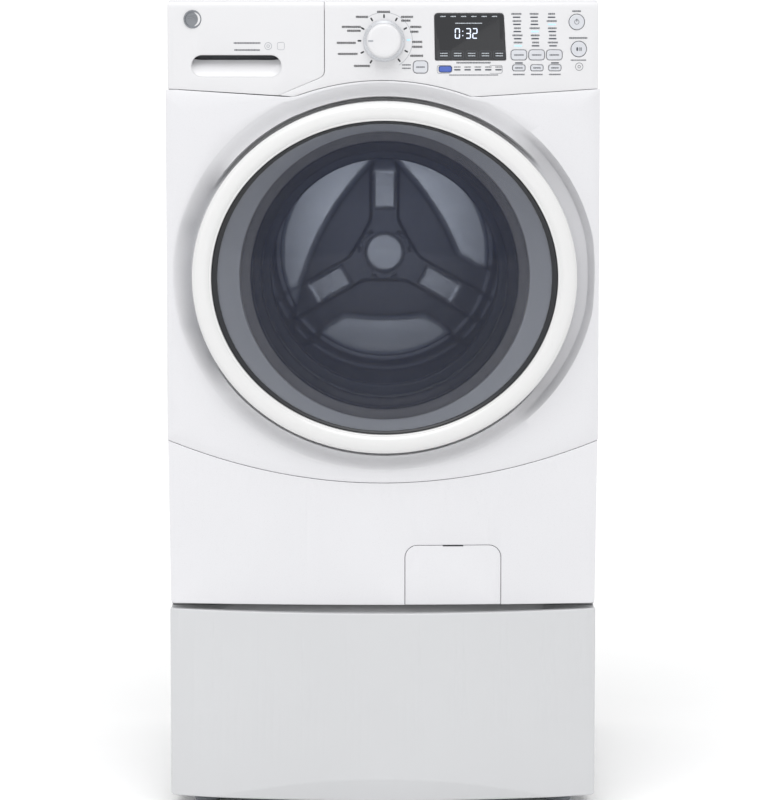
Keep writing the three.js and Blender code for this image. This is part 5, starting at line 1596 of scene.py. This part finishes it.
# ---------------------------------------------------------------- drum
@dataclass
class Drum:
    """The stainless drum: punched wall, pressed rear wall with three arms, and three lifters."""

    axis: Place
    radius: float = 0.287
    mouth: float = 0.19
    arms: int = 3
    hub: float = 0.034
    petal: float = 0.184
    flat: float = 0.112
    arm_half: float = 0.0226
    front: float = field(init=False)
    back: float = field(init=False)

    def __post_init__(self) -> None:
        """Reads how deep the drum is."""
        low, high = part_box("drum")
        self.front, self.back = low.y + 0.0008, high.y - 0.0008

    def build_wall(self) -> None:
        """Builds the punched wall with its rolled mouth, unrolled for the holes' pattern."""
        f, b, r, m = self.front, self.back, self.radius, self.mouth
        inner = [(r - 0.008, b - 0.001), *arc((r - 0.012, b - 0.013), 0.012, 60, 0, 4),
                 (r, between(f, b, 0.5)), *arc((r - 0.012, f + 0.012), 0.012, 0, -90, 5),
                 (m + 0.02, f), *arc((m + 0.004, f + 0.004), 0.004, -90, -180, 4), (m, f + 0.01)]
        profile = walled(inner, 0.0012)
        steps = 160
        mesh = lathe(profile, self.axis, steps)
        unrolled = mesh.loops.layers.uv.new("unrolled")
        for face in mesh.faces:
            angles = []
            for loop in face.loops:
                place = loop.vert.co
                angles.append(math.atan2(place.z - self.axis[2], place.x - self.axis[0]))
            wraps = max(angles) - min(angles) > math.pi
            for loop, angle in zip(face.loops, angles):
                turn = angle + 2 * math.pi if wraps and angle < 0 else angle
                loop[unrolled].uv = ((turn + 4.0) * 0.2872, loop.vert.co.y + 1.0)
        # The wall's steel is painted dark as shade inside the drum.
        piece("drum_punched_wall", mesh, Finishes.PUNCHED_SHADED, "drum", tidy=True)

    def star(self, x: float, z: float) -> tuple[float, float]:
        """Gives the pressing's rise and its painted shade at a point from the axis: full on the arms, less on
        the pads, hub and ridges, none on the petals.
        """
        away = math.hypot(x, z)
        arm, skirt, pad, ridge = 0.0, 0.0, 0.0, 0.0
        for i in range(self.arms):
            turn = math.pi / 2 + 2 * math.pi * i / self.arms
            along = x * math.cos(turn) + z * math.sin(turn)
            side = z * math.cos(turn) - x * math.sin(turn)
            opposite = -along + 0.001 * (side / 0.01) ** 2 * 0.1
            skirt = max(skirt, smoothstep(self.flat, self.flat + 0.012, opposite))
            if along < 0:
                continue
            half = self.arm_half + 0.0204 * min(1.0, max(0.0, (0.062 - along) / 0.037)) ** 1.3
            arm = max(arm, 1 - smoothstep(half - 0.004, half + 0.004, abs(side)))
            wide = 0.06 + 0.01 * smoothstep(0.15, 0.19, along)
            near = 1 - smoothstep(wide - 0.004, wide + 0.008, abs(side))
            skirt = min(skirt, 1 - near * smoothstep(0.06, 0.09, along)) if near > 0 else skirt
            ridge = max(ridge,
                        math.exp(-(((abs(side) - half) / 0.0022) ** 2))
                        * (1 - smoothstep(0.19, 0.21, away)))
            inside = (1 - smoothstep(0.0165, 0.0205, abs(side))) * smoothstep(0.076, 0.084, along)
            pad = max(pad, inside * (1 - smoothstep(0.144, 0.152, along)))
        hub = 1 - smoothstep(self.hub - 0.004, self.hub + 0.004, away)
        rim = smoothstep(self.petal, self.petal + 0.005, away)
        petal = skirt * (1 - rim)
        rise = 0.006 * (1 - skirt) + 0.004 * arm + 0.002 * hub - 0.0015 * pad + 0.003 * petal
        rise += 0.0016 * ridge * (1
                                  - hub) + 0.002 * math.exp(-(((away - self.petal - 0.012) / 0.004) ** 2))
        rise += 0.0012 * math.exp(-(((away - self.petal - 0.03) / 0.003) ** 2))
        # Painted shade and light: the arms are painted dark as shade on the raised pressing; the petals,
        # pads, hub and ridges are lighter, as light caught from the front.
        dark = 1 - max(petal, 0.5 * pad, 0.46 * hub, 0.16 * ridge)
        return rise, dark

    def build_rear(self) -> None:
        """Builds the pressed rear wall as one sheet of fine rings."""
        mesh = bmesh.new()
        # This layer carries the painted shade into the finish's "relief" attribute.
        painted_shade_layer = mesh.verts.layers.float.new("relief")
        steps, rim = 288, self.radius - 0.008
        centre = mesh.verts.new((self.axis[0], self.back - self.star(0, 0)[0] - 0.001, self.axis[2]))
        centre[painted_shade_layer] = self.star(0, 0)[1]
        rings = []
        radii = [rim * (i / 96) for i in range(1, 97)]
        for radius in radii:
            ring = []
            for i in range(steps):
                turn = 2 * math.pi * i / steps
                x, z = radius * math.cos(turn), radius * math.sin(turn)
                rise, dark = self.star(x, z)
                rise *= 1 - smoothstep(rim - 0.014, rim - 0.002, radius)
                vert = mesh.verts.new((self.axis[0] + x, self.back - rise - 0.001, self.axis[2] + z))
                vert[painted_shade_layer] = dark
                ring.append(vert)
            rings.append(ring)
        for i in range(steps):
            j = (i + 1) % steps
            mesh.faces.new((centre, rings[0][i], rings[0][j]))
            for inner, outer in zip(rings, rings[1:]):
                mesh.faces.new((inner[i], outer[i], outer[j], inner[j]))
        piece("drum_rear_pressing", mesh, Finishes.STEEL, body="drum", sheet=0.0008)

    def build_lifters(self) -> None:
        """Builds the three lifters, rounded and tapered towards the axis."""
        foot, crest, half = self.radius - 0.0012, self.radius - 0.052, 0.031
        section = rounded_loop([(crest, -0.01, 0.008), (foot - 0.012, -half + 0.006, 0.01),
                                (foot, -half, 0.001),
                                (foot, half, 0.001), (foot - 0.012, half - 0.006, 0.01),
                                (crest, 0.01, 0.008)], 5)
        y0, y1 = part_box("drum_baffle_1")[0].y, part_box("drum_baffle_1")[1].y
        stations = [(0.0, 0.55), (0.015, 0.86), (0.04, 1.0), (0.5, 1.0), (0.96, 1.0), (0.985, 0.86),
                    (1.0, 0.55)]
        for number in range(1, 4):
            mesh = bmesh.new()
            rings = []
            for share, height in stations:
                ring = []
                for x, z in section:
                    reach = foot - (foot - x) * height
                    limit = math.sqrt(max(0.0, foot ** 2 - z * z))
                    ring.append(mesh.verts.new((self.axis[0] + min(reach, limit), between(y0, y1, share),
                                                self.axis[2] + z)))
                rings.append(ring)
            for first, second in zip(rings, rings[1:]):
                for i in range(len(section)):
                    j = (i + 1) % len(section)
                    mesh.faces.new((first[i], first[j], second[j], second[i]))
            mesh.faces.new(rings[0])
            mesh.faces.new(list(reversed(rings[-1])))
            spun(mesh, self.axis, 90 + 120 * (number - 1))
            piece(f"drum_lifter_{number}", mesh, Finishes.PALE, f"drum_baffle_{number}")

    def build(self) -> None:
        """Builds the whole drum."""
        self.build_wall()
        self.build_rear()
        self.build_lifters()
        dress("drum_spider", Finishes.CAST)
        dress("drum_pulley", Finishes.CAST)
        LOG.info("drum: wall, rear pressing, lifters")


# ---------------------------------------------------------------- casing and works
@dataclass
class Casing:
    """The cabinet's shell, top and rear cover, and the works inside."""

    axis: Place
    rear_bulge: float = 0.19
    rear_slope: float = 0.03
    rear_depth: float = 0.022

    def build_top(self) -> None:
        """Builds the top with rolled edges."""
        low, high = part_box("top_panel")
        loop = box_loop(low.x, high.x, low.y, high.y, 0.01, 8)
        mesh = bmesh.new()
        rings = []
        roll = 0.004
        for k in range(6):
            angle = math.pi / 2 * k / 5
            ring = offset_loop(loop, roll * (1 - math.sin(angle)))
            rings.append([mesh.verts.new((x, y, high.z - roll * (1 - math.cos(angle)))) for x, y in ring])
        rings.append([mesh.verts.new((x, y, low.z)) for x, y in loop])
        for inner, outer in zip(rings, rings[1:]):
            for i in range(len(loop)):
                j = (i + 1) % len(loop)
                mesh.faces.new((inner[i], outer[i], outer[j], inner[j]))
        mesh.faces.new(rings[0])
        mesh.faces.new(list(reversed(rings[-1])))
        piece("top_cover", mesh, Finishes.ENAMEL, "top_panel")

    def build_rear(self) -> None:
        """Builds the rear cover with its round bulge, its openings and its screws."""
        low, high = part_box("rear_cover")
        face = low.y + 0.0015
        ax, az = -self.axis[0], self.axis[2]
        valve_low, valve_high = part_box("water_valve")
        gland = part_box("cord_gland")
        gx, gz = -(gland[0].x + gland[1].x) / 2, (gland[0].z + gland[1].z) / 2
        outline = box_loop(low.x, high.x, low.z, high.z, 0.01, 6)
        holes = [circle_loop(ax, az, self.rear_bulge, 96), circle_loop(gx, gz, 0.0105, 24),
                 box_loop(-valve_high.x + 0.008, -valve_low.x - 0.008, valve_low.z + 0.006,
                          valve_high.z - 0.006, 0.004)]
        mesh = plate(outline, lambda x, z: -face, holes, edge=0.001, flange=0.0014, hole_flange=0.0014,
                     step=0.08)
        piece("rear_cover_sheet", about_face(mesh), Finishes.ZINC, "rear_cover", sheet=0.0006)
        r, depth = self.rear_bulge, self.rear_depth
        path = smooth_path([(r + 0.001, 0.0), (r - 0.004, 0.001), (r - 0.01, 0.006),
                            (r - self.rear_slope + 0.004, depth - 0.004),
                            (r - self.rear_slope - 0.004, depth - 0.0004), (r - 0.08, depth),
                            (0.0, depth)], 4)
        bulge = lathe([(a, b - 0.0004) for a, b in walled(path, 0.0012)], (self.axis[0], face, az), 128,
                      closed=False)
        piece("rear_cover_bulge", bulge, Finishes.ZINC, body="cabinet", crease=60)
        screws = []
        for x in (low.x + 0.014, high.x - 0.014):
            screws += [(x, between(low.z + 0.02, high.z - 0.02, i / 5)) for i in range(6)]
        screws += [(between(low.x + 0.014, high.x - 0.014, i / 4), z)
                   for z in (low.z + 0.014, high.z - 0.014) for i in (1, 2, 3)]
        heads = [lathe([(0.0, 0.0024), (0.0024, 0.0023), (0.004, 0.0016), (0.0046, 0.0004),
                        (0.0046, -0.0008), (0.0, -0.0008)],
                       (x, face, z), 20) for x, z in screws]
        piece("rear_cover_screws", merge(heads), Finishes.SPRING, body="cabinet")

    def build_plumbing(self) -> None:
        """Builds the hose ports, the cord's gland and the filter cap."""
        low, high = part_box("water_valve")
        middle_z = (low.z + high.z) / 2
        plate_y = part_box("rear_cover")[0].y + 0.0021
        body = [block((low.x, plate_y, low.z), (high.x, plate_y + 0.005, high.z), 0.0015),
                block((low.x + 0.009, low.y, low.z + 0.007),
                      (high.x - 0.009, plate_y + 0.001, high.z - 0.007), 0.003)]
        middle = (low.x + high.x) / 2
        for side in (-1, 1):
            thread = [(0.0085, 0.004), (0.013, 0.004)]
            for turn in range(8):
                at = 0.0065 + 0.0028 * turn
                thread += [(0.013, at), (0.012, at + 0.0014)]
            end = high.y - plate_y
            thread += [(0.0122, end - 0.001), (0.0112, end), (0.0085, end)]
            body.append(lathe(thread, (middle + side * 0.022, plate_y, middle_z), 48))
        piece("water_valve_ports", merge(body), Finishes.PALE, "water_valve")
        low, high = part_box("cord_gland")
        centre = ((low.x + high.x) / 2, 0.0, (low.z + high.z) / 2)
        flange = (high.x - low.x) / 2
        sleeve = [(0.0045, low.y), (0.01, low.y), (0.01, plate_y), (flange - 0.001, plate_y),
                  (flange, plate_y + 0.001),
                  (flange, plate_y + 0.003), (flange - 0.001, plate_y + 0.004), (0.0102, plate_y + 0.004),
                  (0.0098, plate_y + 0.008), (0.009, plate_y + 0.009), (0.0094, plate_y + 0.013),
                  (0.0086, plate_y + 0.014),
                  (0.0088, plate_y + 0.018), (0.008, high.y - 0.001), (0.0072, high.y), (0.0045, high.y)]
        piece("cord_gland_sleeve", lathe(sleeve, centre, 48), Finishes.BLACK, "cord_gland")
        low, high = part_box("filter_cap")
        centre = ((low.x + high.x) / 2, 0.0, (low.z + high.z) / 2)
        radius = (high.x - low.x) / 2
        seat = low.y + 0.024 - 0.0003
        cap = [(0.0, seat - 0.0083), (radius - 0.003, seat - 0.0083), (radius, seat - 0.006),
               (radius, seat - 0.0015),
               (radius - 0.0015, seat), (radius - 0.008, seat), (radius - 0.008, high.y - 0.002),
               (radius - 0.01, high.y),
               (0.0, high.y)]
        grip = block((centre[0] - radius + 0.005, low.y, centre[2] - 0.004),
                     (centre[0] + radius - 0.005, seat - 0.007, centre[2] + 0.004), 0.0015)
        piece("filter_cap_moulding", merge([lathe(cap, centre, 64), grip]), Finishes.GREY, "filter_cap")

    def build(self) -> None:
        """Builds the casing and dresses the works."""
        self.build_top()
        self.build_rear()
        self.build_plumbing()
        for node, finish in (
            ("cabinet_shell", Finishes.ENAMEL), ("tub_front", Finishes.GREY), ("tub_rear", Finishes.GREY),
            ("counterweight", Finishes.WEIGHT), ("suspension_spring_left", Finishes.SPRING),
            ("suspension_spring_right", Finishes.SPRING), ("damper_cylinder_left", Finishes.BLACK),
            ("damper_cylinder_right", Finishes.BLACK), ("damper_rod_left", Finishes.SPRING),
            ("damper_rod_right", Finishes.SPRING), ("drive_belt", Finishes.BELT),
            ("drive_motor", Finishes.CAST),
            ("motor_pulley", Finishes.SPRING), ("drain_pump", Finishes.BLACK),
        ):
            dress(node, finish)
        soften("cabinet_shell", 0.0012)
        LOG.info("casing: top, rear cover, ports, gland, works")


# ---------------------------------------------------------------- pedestal
@dataclass
class Pedestal:
    """The storage drawer pedestal: casing, bowed drawer front with a finger scoop, drawer and feet."""

    bow: Bow
    scoop_half: float = 0.2735
    scoop_lip: float = 0.014
    scoop_drop: float = 0.012
    facet_top: float = 0.3488
    sag: float = 0.0035
    toe_sag: float = 0.005
    hang: float = 0.003
    toe_half: float = 0.296
    toe_rise: float = 0.038
    toe_back: float = 0.01
    low: Vector = field(init=False)
    high: Vector = field(init=False)

    def __post_init__(self) -> None:
        """Reads the drawer front's box."""
        self.low, self.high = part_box("pedestal_drawer_front")

    def surface(self, x: float, z: float) -> float:
        """Gives the front's Y: the bow, leaning back below the toe line."""
        toe = self.low.z - self.hang - self.toe_sag + self.toe_rise * (1 - (x / self.toe_half) ** 2)
        share = max(0.0, toe - z) / self.toe_rise
        return self.bow.at(x) + self.toe_back * min(1.0, share)

    def edge_height(self, x: float, base: float) -> float:
        """Gives an edge's height, sagging towards the middle."""
        return base - self.sag * (1 - (x / self.bow.half) ** 2)

    def build_front(self) -> None:
        """Builds the drawer front."""
        half = self.high.x
        xs = [half * (i / 24 - 1) for i in range(49)]
        base = self.low.z - self.hang
        lower = [(x, base - self.toe_sag * (1 - (x / self.bow.half) ** 2)) for x in xs[1:-1]]
        upper = [(-x, self.edge_height(x, self.high.z)) for x in xs[1:-1]]
        corner = 0.005
        outline = [*arc((-half + corner, base + corner), corner, 180, 262, 5), *lower,
                   *arc((half - corner, base + corner), corner, 278, 360, 5),
                   *arc((half - 0.002, self.high.z - 0.002), 0.002, 0, 80, 3), *upper,
                   *arc((-half + 0.002, self.high.z - 0.002), 0.002, 100, 180, 3)]
        rows = [base + self.toe_rise * i / 16 for i in range(-1, 17)]
        mesh = plate(outline, self.surface, edge=0.0022, flange=self.scoop_lip, rows=rows)
        # The face is in the pedestal enamel, whose darker tone is painted shade.
        piece("pedestal_drawer_face", mesh, Finishes.PEDESTAL, "pedestal_drawer_front", sheet=0.0012)
        mesh = bmesh.new()
        columns = []
        for i in range(61):
            x = half * (i / 30 - 1) * 0.995
            shade = 1 - smoothstep(self.scoop_half - 0.02, self.scoop_half + 0.004, abs(x))
            front, back = self.bow.at(x) + self.scoop_lip * 0.5, self.high.y
            top = self.edge_height(x, self.high.z) - 0.0008
            valley = top - self.scoop_drop * shade
            crest = between(top, self.facet_top, 0.35 + 0.65 * shade)
            depth = [(front, top), (front + 0.003, between(top, valley, 0.5)), (front + 0.008, valley),
                     (front + 0.03, crest - 0.001), (front + 0.032, crest), (front + 0.035, crest),
                     (back, top - self.scoop_drop), (back, top - self.scoop_drop - 0.03)]
            columns.append([mesh.verts.new((x, y, z)) for y, z in depth])
        for first, second in zip(columns, columns[1:]):
            for k in range(len(first) - 1):
                mesh.faces.new((first[k], first[k + 1], second[k + 1], second[k]))
        bmesh.ops.recalc_face_normals(mesh, faces=mesh.faces)
        if sum(face.normal.z for face in mesh.faces) < 0:
            bmesh.ops.reverse_faces(mesh, faces=mesh.faces)
        piece("pedestal_finger_scoop", mesh, Finishes.PEDESTAL, body="pedestal_drawer",
              sheet=0.001)

    def build_feet(self) -> None:
        """Builds the four levelling feet."""
        for number in range(1, 5):
            node = f"pedestal_foot_{number}"
            low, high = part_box(node)
            pad, top = (high.x - low.x) / 2, high.z
            profile = [(0.0, 0.0), (pad - 0.002, 0.0), (pad, 0.002), (pad, 0.006), (pad - 0.003, 0.009),
                       (0.012, 0.0095),
                       (0.011, 0.0125), (0.007, 0.0135), (0.0065, 0.016), (0.007, 0.0175), (0.0065, 0.019),
                       (0.007, 0.0205),
                       (0.0065, top - 0.001), (0.0065, top), (0.0, top)]
            foot = upright(lathe(profile, (0, 0, 0), 48), (low.x + high.x) / 2, (low.y + high.y) / 2)
            piece(node + "_screw", foot, Finishes.GREY, node)

    def build(self) -> None:
        """Builds the whole pedestal."""
        self.build_front()
        self.build_feet()
        # The casing takes the same enamel, with its painted shade.
        dress("pedestal_cabinet", Finishes.PEDESTAL)
        dress("pedestal_drawer_box", Finishes.ZINC)
        soften("pedestal_cabinet", 0.001)
        LOG.info("pedestal: front, scoop, feet")


# ---------------------------------------------------------------- studio
@dataclass
class Studio:
    """The pale floor, the soft light and the camera."""

    stand: Place = (0.002, -6.375, 1.33)
    pitch: float = 6.1
    lens: float = 164.5
    sensor: float = 36.0
    floor_reach: float = 40.0
    sweep: float = 14.0
    sweep_radius: float = 4.0
    sky: float = 0.8
    sun: float = 1.1

    def build_floor(self) -> None:
        """Builds the floor, swept up far behind the machine."""
        bend = self.sweep_radius
        path = [(-self.floor_reach, 0.0), (-4.0, 0.0), (4.0, 0.0), (self.sweep, 0.0)]
        path += [(self.sweep + bend * math.sin(math.radians(a)), bend * (1 - math.cos(math.radians(a))))
                 for a in range(6, 91, 6)]
        path.append((self.sweep + bend, bend + 4.0))
        mesh = bmesh.new()
        columns = [[mesh.verts.new((x, y, z)) for y, z in path]
                   for x in (-self.floor_reach, -4, 4, self.floor_reach)]
        for first, second in zip(columns, columns[1:]):
            for k in range(len(path) - 1):
                mesh.faces.new((first[k], second[k], second[k + 1], first[k + 1]))
        mark_creases(mesh, 40)
        data = bpy.data.meshes.new("floor")
        mesh.to_mesh(data)
        mesh.free()
        floor = bpy.data.objects.new("floor", data)
        bpy.context.scene.collection.objects.link(floor)
        data.materials.append(Finishes.FLOOR.material())

    def add_light(self, name: str, place: Place, target: Place, width: float, height: float,
                  power: float) -> None:
        """Adds a soft box.

        Args:
            name: The light's name.
            place: Where it stands.
            target: What it faces.
            width: Its width.
            height: Its height.
            power: Its power in watts.
        """
        data = bpy.data.lights.new(name, "AREA")
        data.shape, data.size, data.size_y, data.energy = "RECTANGLE", width, height, power
        lamp = bpy.data.objects.new(name, data)
        lamp.location = place
        lamp.rotation_mode = "QUATERNION"
        lamp.rotation_quaternion = (Vector(target) - Vector(place)).to_track_quat("-Z", "Y")
        lamp.visible_camera = False
        bpy.context.scene.collection.objects.link(lamp)

    def build_light(self) -> None:
        """Builds the sky and the soft boxes."""
        scene = bpy.context.scene
        scene.world = bpy.data.worlds.new("sky")
        scene.world.use_nodes = True
        background = scene.world.node_tree.nodes["Background"]
        background.inputs["Color"].default_value = (1.0, 1.0, 1.0, 1.0)
        background.inputs["Strength"].default_value = self.sky
        scene.view_settings.view_transform = "Standard"
        data = bpy.data.lights.new("overhead", "SUN")
        data.energy, data.angle = self.sun, math.radians(50)
        overhead = bpy.data.objects.new("overhead", data)
        overhead.rotation_mode = "QUATERNION"
        overhead.rotation_quaternion = Vector((0.0, 0.5, -0.85)).to_track_quat("-Z", "Y")
        scene.collection.objects.link(overhead)
        self.add_light("top_box", (-0.4, -2.0, 3.1), (0.0, -0.3, 1.1), 2.4, 1.0, 16)
        self.add_light("left_box", (-3.2, -3.0, 2.6), (0.0, -0.3, 1.0), 1.4, 2.4, 8)
        self.add_light("drum_fill", (0.003, -0.215, 0.905), (0.003, 0.3, 0.893), 0.26, 0.26, 0.95)

    def build_camera(self) -> None:
        """Builds the camera."""
        data = bpy.data.cameras.new("camera")
        data.sensor_width, data.lens = self.sensor, self.lens
        data.clip_end = 200
        camera = bpy.data.objects.new("camera", data)
        camera.location = self.stand
        camera.rotation_euler = (math.radians(90 - self.pitch), 0, 0)
        bpy.context.scene.collection.objects.link(camera)
        bpy.context.scene.camera = camera

    def build(self) -> None:
        """Builds the whole studio."""
        self.build_floor()
        self.build_light()
        self.build_camera()
        LOG.info("studio: floor, light, camera")


def main() -> None:
    """Builds the machine in order: studio, front, door, drum, casing, pedestal."""
    logging.basicConfig(level=logging.INFO, format="%(name)s: %(message)s")
    low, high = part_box("door_bowl")
    axis = ((low.x + high.x) / 2, 0.0, (low.z + high.z) / 2)
    bow = Bow.of("front_panel")
    fascia = ControlFascia(bow)
    Studio().build()
    for assembly in (fascia, DispenserDrawer(fascia), FrontPanels(fascia, bow, axis), Door(axis),
                     Drum(axis),
                     Casing(axis), Pedestal(Bow.of("pedestal_drawer_front"))):
        assembly.build()


if __name__ == "__main__":
    main()
